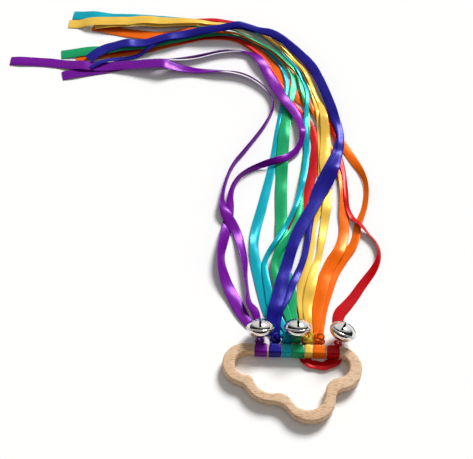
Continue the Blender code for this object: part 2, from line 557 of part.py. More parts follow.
def build_bell(bell, strand, nickel):
    frame = bell_frame(bell, strand)
    swing = pivot("bell_" + bell + "_pivot", strand)
    print("bell", bell, "pivot", [round(v, 5) for v in strand + TO_ORIGIN])
    build_bell_crown(bell, frame, nickel, swing)
    build_bell_dome(bell, frame, nickel, swing)
    build_bell_loop(bell, frame, nickel, swing)
    build_pea(bell, frame, nickel)


def station_distances(length, first_pitch, pitch):
    """Distances along a route, close together at its start and then a pitch apart."""
    distances = [0.0]
    step = first_pitch
    while distances[-1] < length:
        distances.append(distances[-1] + step)
        step = min(pitch, step * PITCH_GROWTH)
    return [d * length / distances[-1] for d in distances]


def smooth_route(points, first_pitch, pitch):
    """Stations along a smooth curve through the given points."""
    fine = []
    for i in range(len(points) - 1):
        before = points[max(i - 1, 0)]
        start, end = points[i], points[i + 1]
        after = points[min(i + 2, len(points) - 1)]
        for k in range(12):
            t = k / 12
            fine.append(0.5 * (2 * start + (end - before) * t + (2 * before - 5 * start + 4 * end - after) * t * t
                               + (3 * start - before - 3 * end + after) * t ** 3))
    fine.append(points[-1])
    lengths = [0.0]
    for i in range(1, len(fine)):
        lengths.append(lengths[-1] + (fine[i].xy - fine[i - 1].xy).length)
    spaced = []
    spot = 0
    for want in station_distances(lengths[-1], first_pitch, pitch):
        while spot < len(fine) - 2 and lengths[spot + 1] < want:
            spot += 1
        step = max(lengths[spot + 1] - lengths[spot], 1e-9)
        spaced.append(fine[spot].lerp(fine[spot + 1], min(1.0, (want - lengths[spot]) / step)))
    return spaced


def slack_end(places):
    """Where the slack turn of the red ribbon goes under the bar, between the green and the yellow wrap."""
    return places["green"][0] + places["green"][1] / 2


def tail_start(name, places):
    """Where a tail leaves its knot."""
    if name == SLACK_TAIL:
        return Vector((slack_end(places), SWING_RADIUS + SLACK_TUCK, FLOOR_GAP))
    colour, side = name.split("_")
    offset = -TAIL_SPREAD if side == "left" else TAIL_SPREAD
    middle = places[colour][0]
    if colour in BELL_ON:
        strand = tie_place(colour, middle)
        back = TIE_SIDE_RADIUS + TIE_HALF_WIDTH * abs(math.sin(BELL_TURN[BELL_ON[colour]]))
        return Vector((strand.x + offset, strand.y + back, TAIL_START_HEIGHT))
    return Vector((middle + offset, KNOT_BACK - TAIL_UNDER_KNOT, TAIL_START_HEIGHT))


def tail_sections(name, places):
    """Every station's plan point, the half of the ribbon across it and the direction its face points."""
    start = tail_start(name, places)
    route = [Vector((start.x, start.y + back, 0.0, TAIL_GATHERED_WIDTH)) for back in (0.0, TAIL_LEAD)]
    route += [Vector((x * MM, y * MM, math.radians(tilt), width * MM)) for x, y, tilt, width in TAILS[name]]
    stations = smooth_route(route, FIRST_PITCH, STATION_PITCH)
    sections = []
    for i, station in enumerate(stations):
        ahead = stations[min(i + 1, len(stations) - 1)].xy - stations[max(i - 1, 0)].xy
        ahead = Vector((0, 1)) if i == 0 else ahead.normalized()
        tilt = station.z
        across = Vector((-ahead.y * math.cos(tilt), ahead.x * math.cos(tilt), math.sin(tilt)))
        normal = Vector((ahead.x, ahead.y, 0)).cross(across)
        sections.append((station.xy, across * station.w / 2, normal))
    return sections, start.z


def needed_heights(sections, below):
    """For each stretch between stations, the height its middle line needs at a few places along it."""
    half_thick = RIBBON_SOLID_THICKNESS / 2
    down = Vector((0, 0, -1))
    needed = []
    for (near, near_half, near_normal), (far, far_half, far_normal) in zip(sections, sections[1:]):
        stretch = []
        for k in range(LAY_STEPS + 1):
            t = k / LAY_STEPS
            middle = near.lerp(far, t)
            half = near_half.lerp(far_half, t)
            thick = abs(near_normal.lerp(far_normal, t).z) * half_thick
            most = 0.0
            for m in range(-LAY_STEPS, LAY_STEPS + 1):
                offset = half * (m / LAY_STEPS)
                most = max(most, FLOOR_GAP + thick - offset.z)
                if not below:
                    continue
                above = Vector((middle.x + offset.x, middle.y + offset.y, 1.0))
                hit, normal, _, _ = below.ray_cast(above, down)
                if hit:
                    most = max(most, hit.z + LAY_GAP / max(abs(normal.z), STEEPEST) + thick - offset.z)
            stretch.append(most)
        needed.append(stretch)
    return needed


def lift_to_clear(heights, needed):
    """Raises the two ends of each stretch just enough for every place along it."""
    for i, stretch in enumerate(needed):
        for k, least in enumerate(stretch):
            t = k / LAY_STEPS
            short = least - (1 - t) * heights[i] - t * heights[i + 1]
            if short > 0:
                share = short / ((1 - t) ** 2 + t ** 2)
                heights[i] += share * (1 - t)
                heights[i + 1] += share * t


def lay(needed, start_height):
    """A slack ribbon over its supports: it sags between them and never goes below what is needed."""
    heights = [start_height] + [0.0] * len(needed)
    for _ in range(RELAX_ROUNDS):
        for i in range(1, len(heights) - 1):
            heights[i] = (heights[i - 1] + heights[i + 1]) / 2 - SAG_PER_STATION
        heights[0] = start_height
        heights[-1] = heights[-2] - SAG_PER_STATION
        lift_to_clear(heights, needed)
    for _ in range(LAST_LIFTS):
        lift_to_clear(heights, needed)
    return heights


def strip_mesh(sections, heights):
    """A flat strip whose two faces are split along the same diagonals, so that they stay apart where it twists."""
    half_thick = RIBBON_SOLID_THICKNESS / 2
    points = []
    for (place, half, normal), height in zip(sections, heights):
        middle = Vector((place.x, place.y, height))
        for side, face in ((-1, -1), (1, -1), (1, 1), (-1, 1)):
            points.append(middle + side * half + face * half_thick * normal)
    faces = [(3, 2, 1, 0), tuple(range(len(points) - 4, len(points)))]
    for row in range(len(sections) - 1):
        near = [row * 4 + i for i in range(4)]
        far = [v + 4 for v in near]
        for i, j in ((0, 1), (1, 2), (3, 0)):
            faces += [(near[i], near[j], far[j]), (near[i], far[j], far[i])]
        faces += [(near[2], near[3], far[2]), (near[3], far[3], far[2])]
    return points, faces


def build_tails(places, parent):
    laid_points, laid_faces = [], []
    below = None
    for name in TAILS:
        sections, start_height = tail_sections(name, places)
        heights = lay(needed_heights(sections, below), start_height)
        points, faces = strip_mesh(sections, heights)
        length = sum((a[0] - b[0]).length for a, b in zip(sections, sections[1:]))
        print("tail", name, "top", round(max(heights), 4), "length", round(length, 3))
        first = len(laid_points)
        laid_points += points
        laid_faces += [tuple(first + v for v in face) for face in faces]
        below = BVHTree.FromPolygons(laid_points, laid_faces)
        solid(name.replace("_", "_ribbon_tail_"), points, faces, ribbon_material(name.split("_")[0]), parent)


def build_slack_turn(places):
    """The loose turn of the red ribbon that shows inside the ring, from its own wrap to where it goes under the bar."""
    start_x, end_x = places["red"][0], slack_end(places)
    front = -(BAR_WIDTH / 2 + WRAP_BUILD + SEAT_GAP)
    span = start_x - end_x
    route = [Vector((start_x - span * t, front - SLACK_BULGE * math.sin(math.pi * t) ** 0.7, 0.0))
             for t in (0.0, 0.12, 0.3, 0.5, 0.75, 1.0)]
    stations = smooth_route(route, FIRST_PITCH, FIRST_PITCH)
    sections = []
    for i, station in enumerate(stations):
        if i == 0:
            ahead = Vector((0, -1))
        elif i == len(stations) - 1:
            ahead = Vector((0, 1))
        else:
            ahead = (stations[i + 1].xy - stations[i - 1].xy).normalized()
        across = Vector((-ahead.y * math.cos(SLACK_TILT), ahead.x * math.cos(SLACK_TILT), math.sin(SLACK_TILT)))
        normal = Vector((ahead.x, ahead.y, 0)).cross(across)
        sections.append((station.xy, across * SLACK_SHOWN_WIDTH / 2, normal))
    points, faces = strip_mesh(sections, lay(needed_heights(sections, None), FLOOR_GAP))
    solid("red_ribbon_slack_turn", points, faces, ribbon_material("red"))


def main():
    clear_scene()
    places = wrap_places()
    nickel = material("nickel", COLOUR_VALUES["nickel"], 0.12, 1.0)
    build_ring()
    swing = pivot("ribbon_swing_pivot", (0.0, 0.0, BAR_HEIGHT))
    for colour, (middle, width) in places.items():
        build_wrap(colour, middle, width)
        if colour in BELL_ON:
            build_bell_knot(colour, middle, swing)
            build_bell(BELL_ON[colour], tie_place(colour, middle), nickel)
        else:
            build_plain_knot(colour, middle, swing)
    build_tails(places, swing)
    build_slack_turn(places)


main()
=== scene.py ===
"""The looks of a beech hand ring with seven satin ribbons and three jingle bells, made over its CAD frame.

Metres, +Z up, in the frame of the CAD model. Places are from the middle of the bar unless a comment says
otherwise.
"""

import math

import bpy
from mathutils import Matrix, Vector, noise
from mathutils.bvhtree import BVHTree


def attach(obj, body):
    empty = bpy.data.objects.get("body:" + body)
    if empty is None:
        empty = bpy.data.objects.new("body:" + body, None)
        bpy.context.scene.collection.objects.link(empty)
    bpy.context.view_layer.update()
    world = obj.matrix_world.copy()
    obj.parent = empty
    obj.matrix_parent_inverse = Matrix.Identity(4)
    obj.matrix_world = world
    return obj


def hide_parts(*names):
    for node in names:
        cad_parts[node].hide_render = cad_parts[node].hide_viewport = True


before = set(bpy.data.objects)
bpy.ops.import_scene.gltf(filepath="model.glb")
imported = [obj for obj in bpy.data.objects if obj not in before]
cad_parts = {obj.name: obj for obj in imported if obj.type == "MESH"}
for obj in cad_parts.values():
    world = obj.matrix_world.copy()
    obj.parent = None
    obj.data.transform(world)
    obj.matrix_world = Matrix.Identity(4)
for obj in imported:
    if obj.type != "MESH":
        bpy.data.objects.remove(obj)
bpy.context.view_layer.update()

MIDDLE_OF_BAR = Vector((-0.0005, 0.01639, 0.0))

# Camera and light, in the CAD frame
CAMERA_PLACE = Vector((-0.0304, -0.3008, 0.681))
CAMERA_TARGET = Vector((-0.04525, 0.12446, 0.0))
CAMERA_LENS = 75.65
CAMERA_SENSOR = 36.0
SUN_TRAVEL = Vector((-0.45, -0.9, -0.8))
SUN_STRENGTH = 3.7
SUN_ANGLE = math.radians(20)
SKY_STRENGTH = 0.27
ROOM_BRIGHT_WAY = (0.12, 0.80, 0.50)
ROOM_DARK_BELOW = 0.40
ROOM_BRIGHT_ABOVE = 0.78
ROOM_DARK = 0.02
SKY_COLOUR = (1.0, 0.99, 0.975, 1.0)
WHITE = (1.0, 1.0, 1.0, 1.0)
FLOOR_SIZE = 6.0
FLOOR_COLOUR = (1.0, 0.998, 0.992)
FLOOR_ROUGHNESS = 0.9

# Clearances
SEAT_GAP = 0.0003
LAY_GAP = 0.00045
FLOOR_GAP = 0.0002

# Beech ring: a lobe is a centre x, a centre y and a radius. The lobes beside the bar take their height from it.
RING_THICKNESS = 0.0080
BAR_WIDTH = 0.0072
EDGE_ROUND = 0.0014
OUTER_LEFT_LOBE = (-0.0350, 0.0160)
OUTER_BUMP_LOBE = (-0.0145, -0.0207, 0.0217)
OUTER_DEEP_LOBE = (0.0134, -0.0372, 0.0190)
OUTER_RIGHT_LOBE = (0.0346, 0.0174)
OUTER_DIP_RADII = (0.0090, 0.0140, 0.0070)
HOLE_LEFT_LOBE = (-0.0327, 0.0091)
HOLE_BUMP_LOBE = (-0.0137, -0.0208, 0.0147)
HOLE_DEEP_LOBE = (0.0118, -0.0345, 0.0130)
HOLE_RIGHT_LOBE = (0.0338, 0.0090)
HOLE_DIP_RADII = (0.0060, 0.0110, 0.0120)
LOBE_STEPS = (64, 28, 56, 64)
DIP_STEPS = 20
EDGE_STEPS = 8

# Ribbons: each one is wrapped once round the bar. A tucked width is hidden under the next wrap.
RIBBON_WIDTH = 0.0100
RIBBON_THICKNESS = 0.00012
RIBBON_SOLID_THICKNESS = 0.0004
WRAP_PULL_IN = 0.0006
WRAPS_MIDDLE = 0.0040
WRAP_CORNER = 0.0018
WRAP_EDGE_DROP = 0.00042
WRAP_GATHER = 0.30
WRAP_PLEAT = 0.00022
WRAP_ACROSS = 24
WRAP_CORNER_STEPS = 8
WRAP_FLAT_STEPS = 8
WRAP_SEED_STEP = 7.3
WRAP_EDGE_POWER = 5
WRAP_GATHER_POWER = 1.5
WRAP_FOLDS = (2.6, 0.045)
WRAP_FOLD_SHARE = 0.5
WRAP_UV_LENGTH = 0.03
COLOURS = ("violet", "blue", "turquoise", "green", "yellow", "orange", "red")
TUCKED_WIDTH = {"turquoise": 0.0024, "yellow": 0.0036}
BARE_BAR_AFTER = {"violet": 0.0012, "orange": 0.0009}
WRAP_GAP = 0.0003

# Knots behind the bar
KNOT_HALF_WIDTH = 0.0034
KNOT_HALF_DEPTH = 0.0024
KNOT_HALF_HEIGHT = 0.0030
KNOT_FOLD_DEPTH = 0.0008
KNOT_CORE = 0.8
KNOT_AROUND = 72
KNOT_ROWS = 48
KNOT_POLE = 0.02
KNOT_SEED = 3.1
KNOT_SEED_STEP = 5.7
KNOT_FOLDS = 1.25
KNOT_UV_STEP = 0.0002
CREASE_SHARPNESS = 2.2
STRAND_RING = 0.0021
STRAND_WEAVE = 0.0010
STRAND_HALF_WIDTH = 0.0011
STRAND_HALF_THICK = 0.00045
STRAND_STRETCH = (1.30, 1.15, 1.25)
STRAND_PLEAT = 0.00022
STRAND_PLEATS = 5
STRAND_SIDES = 28
STRAND_STEPS = 160
STRAND_START_STEP = 0.9
STRAND_UV_STEP = 0.0003
CURL_STEPS = 72
CURL_SKEW = 0.25
CURL_LEAN = 0.5
# Curls of a knot: side, back, rise, half width, half height, yaw and lean in degrees
CURLS = {
    "blue": [(0.0014, 0.0040, 0.0026, 0.0022, 0.0028, 35, -30)],
    "turquoise": [(-0.0012, 0.0042, 0.0022, 0.0022, 0.0026, -30, -35)],
    "yellow": [(-0.0014, 0.0042, 0.0028, 0.0022, 0.0032, 25, -30),
               (0.0018, 0.0058, 0.0018, 0.0020, 0.0026, -50, -20)],
    "orange": [(0.0010, 0.0042, 0.0030, 0.0024, 0.0034, -20, -30),
               (-0.0022, 0.0060, 0.0018, 0.0020, 0.0024, 50, -25)],
}
TIE_HALF_WIDTH = 0.0026
TIE_HALF_HEIGHT = 0.0025
TIE_STRAND_RADIUS = 0.0008
TIE_SIDE_RADIUS = 0.0014
TIE_FOLD_DEPTH = 0.00025
TIE_AROUND = 96
TIE_SIDES = 40
TIE_SEED = 2.3
TIE_SEED_STEP = 4.1
TIE_FOLDS = (1.5, 0.7, 0.5)
TIE_UV_STEP = 0.00017

# Tails, gathered where they leave the knot
TAIL_SPREAD = 0.0019
TAIL_GATHERED_WIDTH = 0.0032
TAIL_LEAD = 0.004
TAIL_START_HEIGHT = 0.0014
TAIL_UNDER_KNOT = 0.0014
STATION_PITCH = 0.0095
FIRST_PITCH = 0.0035
PITCH_GROWTH = 1.2
SAG_PER_STATION = 0.0005
RELAX_ROUNDS = 300
LAST_LIFTS = 20
LAY_STEPS = 6
STEEPEST = 0.3
FINE_STEPS = 4
ROUTE_STEPS = 12
TAIL_SEED_STEP = 2.7

# A ribbon's section: its edges are folded under where it shows less than its width
FOLD_RADIUS = 0.00016
CAMBER = 0.00028
MOST_FOLDED_UNDER = 0.46
RIPPLE = 0.00022
RIPPLE_LENGTH = 0.016
RIPPLES_ACROSS = 0.9
FLAT_POINTS = 8
FOLD_POINTS = 5
FLAP_POINTS = 3

# The red ribbon leaves a slack turn inside the ring before one of its tails goes under the bar
SLACK_TAIL = "red_left"
SLACK_SEED = 61.0
SLACK_TUCK = 0.0010
SLACK_START_SIDE = 0.0026
SLACK_START_WIDTH = 0.0090
SLACK_SHOWN_WIDTH = 0.0074
SLACK_TILT = math.radians(12)
SLACK_BULGE = 0.0052
SLACK_CRUMPLE = 0.0007
SLACK_CRUMPLES = 2.5
SLACK_POINTS = 10
SLACK_NARROWING = 2.5
SLACK_ROUNDNESS = 0.7

# Jingle bells
BELL_RADIUS = 0.0102
BELL_HALF_HEIGHT = 0.0071
BELL_WALL = 0.00045
RIM_HEIGHT = 0.0011
RIM_OVERHANG = 0.0004
SLOT_WIDTH = 0.0017
SLOT_END_RADIUS = 0.0021
SLOT_END_ABOVE_RIM = 0.0019
SLOT_END_RISE = 0.0009
SLOT_END_SIDES = 40
DOME_POLE_RADIUS = 0.0001
LOOP_RADIUS = 0.0015
LOOP_WIRE_RADIUS = 0.0004
LOOP_LEG_OFFSET = 0.00056
LOOP_STAND_OFF = 0.0001
LEG_SPLAY = 0.0020
BELL_RISE = math.radians(42)
BELL_TIE_SIDE = {"left": -0.0010, "middle": -0.0005, "right": 0.0040}
BELL_TIE_BACK = {"left": 0.0, "middle": 0.0010, "right": 0.0}
BELL_TURN = {"left": 0.0, "middle": 0.0, "right": math.radians(-28)}
BELL_ON = {"violet": "left", "green": "middle", "red": "right"}
BELL_SEGMENTS = 96
DOME_STEPS = 24
RIM_STEPS = 10
BOW_STEPS = 48
WIRE_SIDES = 16
BOX_FACES = ((0, 1, 3, 2), (4, 6, 7, 5), (0, 4, 5, 1), (2, 3, 7, 6), (0, 2, 6, 4), (1, 5, 7, 3))
SHARP_FROM = math.radians(38)

# Looks. Most of a noise texture lies in the usual range. A bump is a strength and a depth.
USUAL_NOISE = (0.3, 0.7)
SATIN_COLOURS = {
    "violet": (0.165, 0.004, 0.30), "blue": (0.014, 0.011, 0.26), "turquoise": (0.0, 0.38, 0.48),
    "green": (0.008, 0.35, 0.13), "yellow": (0.93, 0.57, 0.085), "orange": (0.94, 0.145, 0.001),
    "red": (0.54, 0.002, 0.007),
}
SATIN_GLOSS = 0.13
SATIN_METALLIC = 0.12
SATIN_ROUGHNESS = (0.20, 0.31)
SATIN_THREADS = (60.0, 250.0, 1.0)
SATIN_WEFT = (6.0, 5200.0, 1.0)
SATIN_CLOUDS = (2.0, 40.0, 1.0)
SATIN_SHADES = (0.84, 1.12)
SATIN_BUMP = (0.25, 0.00005)
SELVEDGE = (0.455, 0.475)
SELVEDGE_SHARE = 0.45
SELVEDGE_SHADE = 0.62
# Knots, ties, knot strands and curls get a glossier copy of each satin with a paler colour. The paler colour is
# painted light that lifts them out of the bells' shade.
CRUMPLED_GLOSS = 0.55
KNOT_PAINTED_LIGHT = 1.35
BEECH_PALE = (0.79, 0.55, 0.36)
BEECH_DARK = (0.65, 0.42, 0.245)
BEECH_FLECK = (0.27, 0.13, 0.055)
BEECH_ROUGHNESS = (0.42, 0.6)
BEECH_GLOSS = 0.35
BEECH_BUMP = (0.3, 0.00006)
BEECH_BANDS = (22.0, 170.0, 170.0)
BEECH_PORES = (260.0, 2600.0, 2600.0)
BEECH_FLECKS = (240.0, 1400.0, 900.0)
NICKEL_COLOUR = (0.80, 0.79, 0.77)
NICKEL_SHADES = (0.9, 1.06)
NICKEL_ROUGHNESS = (0.07, 0.2)
NICKEL_BUMP = (0.06, 0.00003)
NICKEL_SMEARS = 260.0
NICKEL_LINES = (900.0, 900.0, 9000.0)
# The inside of a bell and its pea are painted near black: painted shade of the hollow seen through the slots
INSIDE_SHADE_DARK = (0.012, 0.011, 0.010, 1.0)
INSIDE_SHADE_PALE = (0.05, 0.045, 0.04, 1.0)
STEEL_ROUGHNESS = (0.5, 0.75)
STEEL_METALLIC = 0.6
STEEL_BLOTCHES = 420.0

MM_PER_METRE = 1000
# Each tail from its knot to its cut end: x and y in millimetres, the tilt of the ribbon in degrees and the
# width it shows in millimetres, which is less than the ribbon's own where it is folded along its length. A tilt
# of 0 lies flat, and a positive one lifts the ribbon's left edge. The lowest tail comes first.
TAILS = {
    "orange_right": [
        (23, 37, 0, 9), (27, 53, 0, 10), (33, 71, 0, 10), (42, 86, -5, 9), (50, 98, -15, 7),
        (53, 114, -10, 6), (59, 132, -30, 5), (61, 149, -45, 5), (59, 163, -40, 5), (52, 178, -10, 7),
        (45, 192, 0, 8), (36, 208, 0, 7), (24, 225, 0, 6), (12, 238, 0, 8), (1, 251, 0, 10),
        (-10, 268, 0, 10), (-24, 290, 0, 9), (-39, 305, 0, 7), (-56, 314, 0, 6), (-81, 314, 0, 5),
        (-99, 309, 0, 6), (-117, 304, 0, 8), (-139, 297, 0, 10), (-166, 292, 0, 10), (-196, 286, 0, 10)],
    "red_left": [
        (0, 45, 0, 7), (-4, 61, 0, 6), (-6, 80, 0, 6), (-4, 96, 0, 7), (0, 109, 0, 8), (6, 129, 0, 9),
        (13, 151, 0, 9), (18, 174, 0, 9), (20, 195, 0, 8), (16, 213, 0, 7), (9, 225, 0, 7), (1, 237, 0, 6),
        (-8, 253, 0, 5), (-17, 270, 0, 4), (-26, 288, 5, 4), (-37, 301, 10, 4), (-53, 312, 15, 4),
        (-74, 314, 5, 4), (-94, 310, 0, 5), (-121, 304, 0, 6), (-148, 297, 0, 8), (-171, 293, 0, 9)],
    "turquoise_left": [
        (-17, 30, 0, 7), (-21, 46, 0, 9), (-25, 64, 0, 10), (-29, 80, 5, 8), (-30, 94, 20, 7),
        (-29, 109, 5, 8), (-25, 128, 0, 8), (-20, 154, 0, 7), (-16, 178, 0, 6), (-13, 205, 0, 5),
        (-10, 231, 0, 4), (-6, 250, 5, 4), (-6, 268, 20, 4), (-14, 287, 25, 4), (-31, 305, 25, 4),
        (-51, 315, 25, 4), (-74, 316, 10, 4), (-97, 311, 0, 5), (-121, 305, 0, 6), (-148, 298, 0, 8),
        (-168, 295, 0, 9)],
    "green_right": [
        (0, 34, 0, 8), (-1, 47, 0, 10), (-3, 60, 0, 10), (-7, 76, 0, 10), (-8, 98, 0, 10), (-9, 127, 0, 10),
        (-9, 161, 0, 10), (-8, 193, 0, 10), (-6, 218, 0, 9), (-3, 237, 5, 7), (1, 258, 15, 6),
        (0, 270, 25, 5), (-10, 289, 25, 4), (-28, 307, 25, 4), (-51, 315, 25, 4), (-72, 314, 10, 4),
        (-94, 310, 0, 4), (-117, 303, 0, 6), (-139, 299, 0, 8), (-161, 295, 0, 10), (-189, 292, 0, 10),
        (-210, 289, 0, 10)],
    "orange_left": [
        (20, 35, 0, 9), (22, 48, 0, 10), (25, 63, 0, 10), (32, 80, 0, 10), (38, 91, 0, 9), (42, 108, 5, 8),
        (42, 125, 15, 8), (43, 143, 25, 8), (41, 163, 15, 7), (37, 180, 0, 6), (30, 196, 0, 5),
        (24, 215, 0, 4), (17, 233, 5, 4), (10, 256, 10, 4), (4, 271, 20, 4), (-9, 286, 25, 4),
        (-29, 304, 25, 4), (-51, 313, 25, 4), (-76, 318, 10, 6), (-104, 317, 0, 9), (-127, 315, 0, 10),
        (-150, 317, 0, 10), (-170, 321, 0, 10), (-185, 324, 0, 10)],
    "green_left": [
        (-6, 39, 0, 6), (-10, 53, 0, 6), (-13, 68, 10, 6), (-13, 80, 20, 6), (-8, 91, 25, 6),
        (0, 106, 20, 6), (6, 123, 10, 6), (7, 147, 0, 5), (10, 172, 0, 5), (12, 196, 0, 5), (13, 223, 5, 4),
        (11, 238, 10, 4), (8, 254, 15, 4), (3, 275, 25, 4), (-10, 288, 25, 4), (-30, 306, 25, 4),
        (-52, 315, 25, 4), (-86, 328, 10, 5), (-119, 333, 0, 8), (-161, 335, 0, 10), (-197, 336, 0, 10)],
    "turquoise_right": [
        (-10, 29, 0, 6), (-15, 38, 0, 7), (-18, 52, 0, 6), (-21, 70, 0, 5), (-21, 81, 0, 4),
        (-16, 90, 0, 4), (-6, 109, 0, 4), (2, 127, 0, 4), (7, 147, 0, 5), (11, 171, 0, 5), (12, 193, 0, 5),
        (11, 211, 5, 4), (12, 230, 10, 4), (13, 247, 20, 4), (8, 268, 25, 4), (-5, 292, 25, 4),
        (-28, 317, 25, 4), (-51, 329, 25, 4), (-73, 333, 15, 4), (-100, 334, 5, 6), (-133, 335, 0, 8),
        (-161, 335, 0, 10), (-182, 336, 0, 10), (-205, 338, 0, 10)],
    "red_right": [
        (36, 32, 0, 9), (46, 46, 0, 8), (55, 60, 5, 7), (64, 73, 25, 6), (69, 85, 45, 5), (68, 97, 60, 5),
        (59, 109, 45, 5), (49, 121, 20, 5), (45, 132, 20, 4), (44, 147, 25, 4), (43, 164, 15, 4),
        (40, 181, 5, 5), (37, 199, 5, 4), (34, 222, 10, 5), (30, 243, 15, 5), (21, 266, 25, 4),
        (8, 289, 25, 4), (-13, 311, 25, 4), (-34, 326, 25, 4), (-54, 333, 20, 4), (-77, 334, 10, 6),
        (-97, 331, 5, 6), (-119, 329, 0, 7), (-151, 327, 0, 8), (-183, 324, 0, 10)],
    "yellow_left": [
        (9, 32, 0, 7), (8, 48, 0, 8), (10, 65, 0, 9), (12, 81, 0, 8), (15, 97, 0, 8), (16, 114, 0, 8),
        (22, 133, 0, 8), (25, 157, 0, 8), (25, 182, 0, 7), (24, 209, 0, 6), (21, 233, 10, 4),
        (16, 255, 20, 4), (7, 278, 25, 4), (-5, 295, 25, 4), (-27, 316, 25, 4), (-50, 323, 25, 4),
        (-81, 326, 10, 5), (-109, 327, 0, 8), (-146, 327, 0, 10), (-183, 324, 0, 10)],
    "yellow_right": [
        (12, 36, 0, 7), (14, 51, 0, 8), (18, 72, 0, 7), (22, 87, 8, 5), (24, 100, 8, 6), (27, 121, 5, 7),
        (29, 140, 5, 8), (28, 158, 0, 8), (27, 178, 0, 9), (28, 196, 0, 8), (27, 217, 0, 7),
        (24, 238, 10, 5), (17, 257, 20, 4), (7, 280, 25, 4), (-6, 299, 25, 4), (-27, 317, 25, 4),
        (-50, 324, 25, 4), (-77, 328, 15, 5), (-100, 328, 5, 7), (-132, 329, 0, 9), (-169, 327, 0, 10),
        (-208, 327, 0, 10)],
    "violet_left": [
        (-37, 30, 5, 9), (-45, 45, 10, 10), (-52, 61, 30, 10), (-56, 80, 55, 10), (-54, 99, 35, 9),
        (-51, 123, 5, 7), (-50, 143, 55, 6), (-44, 157, 75, 6), (-31, 168, 70, 6), (-10, 176, 25, 6),
        (4, 188, 10, 5), (8, 203, 10, 5), (3, 225, 5, 8), (-8, 240, 5, 9), (-21, 268, 5, 9),
        (-33, 289, 15, 8), (-45, 297, 40, 6), (-65, 296, 65, 6), (-93, 287, 65, 7), (-129, 282, 25, 10),
        (-166, 274, 0, 10), (-206, 264, 0, 10)],
    "violet_right": [
        (-28, 33, 15, 7), (-32, 38, 45, 9), (-34, 50, 62, 6), (-36, 64, 58, 6), (-38, 81, 35, 7),
        (-44, 103, 10, 8), (-50, 114, 0, 9), (-55, 123, 10, 8), (-57, 134, 50, 6), (-56, 148, 68, 5),
        (-50, 169, 70, 5), (-39, 187, 72, 5), (-26, 209, 74, 5), (-19, 225, 76, 5), (-17, 239, 76, 5),
        (-23, 253, 72, 5), (-37, 266, 65, 6), (-54, 272, 55, 7), (-79, 273, 25, 8), (-110, 275, 5, 10),
        (-151, 276, 0, 10), (-188, 275, 0, 10), (-219, 279, 0, 10), (-255, 280, 0, 10)],
    "blue_right": [
        (-10, 31, 0, 6), (-5, 42, 0, 6), (2, 61, 0, 6), (9, 80, 5, 5), (12, 95, 5, 5), (14, 110, 5, 5),
        (17, 132, 0, 6), (19, 144, 0, 7), (25, 159, 0, 7), (32, 175, 0, 6), (38, 194, 5, 5),
        (41, 208, 10, 5), (36, 226, -8, 7), (27, 255, -8, 7), (17, 280, -8, 7), (-1, 302, -8, 6),
        (-21, 313, -8, 5), (-34, 317, -8, 5), (-49, 318, -8, 5), (-72, 316, -8, 5), (-94, 312, -8, 5),
        (-116, 305, 0, 4), (-130, 296, 0, 4), (-144, 288, 0, 4), (-168, 281, 0, 4), (-181, 272, 0, 4)],
    "blue_left": [
        (-15, 28, 0, 8), (-11, 42, 0, 10), (-7, 61, 0, 10), (-1, 86, -5, 9), (5, 105, -5, 10),
        (13, 122, 0, 10), (22, 141, 0, 10), (32, 161, 0, 10), (38, 180, 5, 7), (41, 201, 15, 6),
        (35, 227, -12, 8), (26, 256, -12, 8), (16, 280, -12, 8), (-2, 302, -12, 8), (-21, 314, -12, 7),
        (-34, 317, -12, 6), (-49, 319, -12, 6), (-72, 316, -12, 7), (-94, 313, -12, 8), (-114, 307, 0, 8),
        (-139, 300, 0, 9), (-168, 295, 0, 10), (-177, 289, 0, 10), (-184, 282, 0, 10)],
}

# Worked out from the sizes above
WRAP_BUILD = SEAT_GAP + RIBBON_SOLID_THICKNESS
BAR_HEIGHT = RING_THICKNESS / 2 + WRAP_BUILD
WRAP_REACH = math.hypot(
    BAR_WIDTH / 2 + WRAP_BUILD - WRAP_CORNER, RING_THICKNESS / 2 + WRAP_BUILD - WRAP_CORNER) + WRAP_CORNER
SWING_RADIUS = WRAP_REACH + SEAT_GAP
KNOT_BACK = SWING_RADIUS + 2 * KNOT_HALF_DEPTH
TIE_DEPTH = SWING_RADIUS + TIE_SIDE_RADIUS
TIE_HEIGHT = TIE_SIDE_RADIUS + 2 * TIE_HALF_HEIGHT + 2 * SEAT_GAP + RIBBON_SOLID_THICKNESS
LOOP_TO_CENTRE = BELL_HALF_HEIGHT + LOOP_RADIUS + LOOP_STAND_OFF


def place_camera():
    lens = bpy.data.cameras.new("camera")
    lens.lens = CAMERA_LENS
    lens.sensor_width = CAMERA_SENSOR
    lens.sensor_fit = "HORIZONTAL"
    camera = bpy.data.objects.new("camera", lens)
    camera.location = CAMERA_PLACE
    camera.rotation_euler = (CAMERA_TARGET - CAMERA_PLACE).to_track_quat("-Z", "Y").to_euler()
    bpy.context.scene.collection.objects.link(camera)
    bpy.context.scene.camera = camera


def mixed(tree, factor, first, second):
    """A node that goes from the first shader to the second with the factor."""
    made = tree.nodes.new("ShaderNodeMixShader")
    tree.links.new(factor, made.inputs["Fac"])
    tree.links.new(first.outputs[0], made.inputs[1])
    tree.links.new(second.outputs[0], made.inputs[2])
    return made


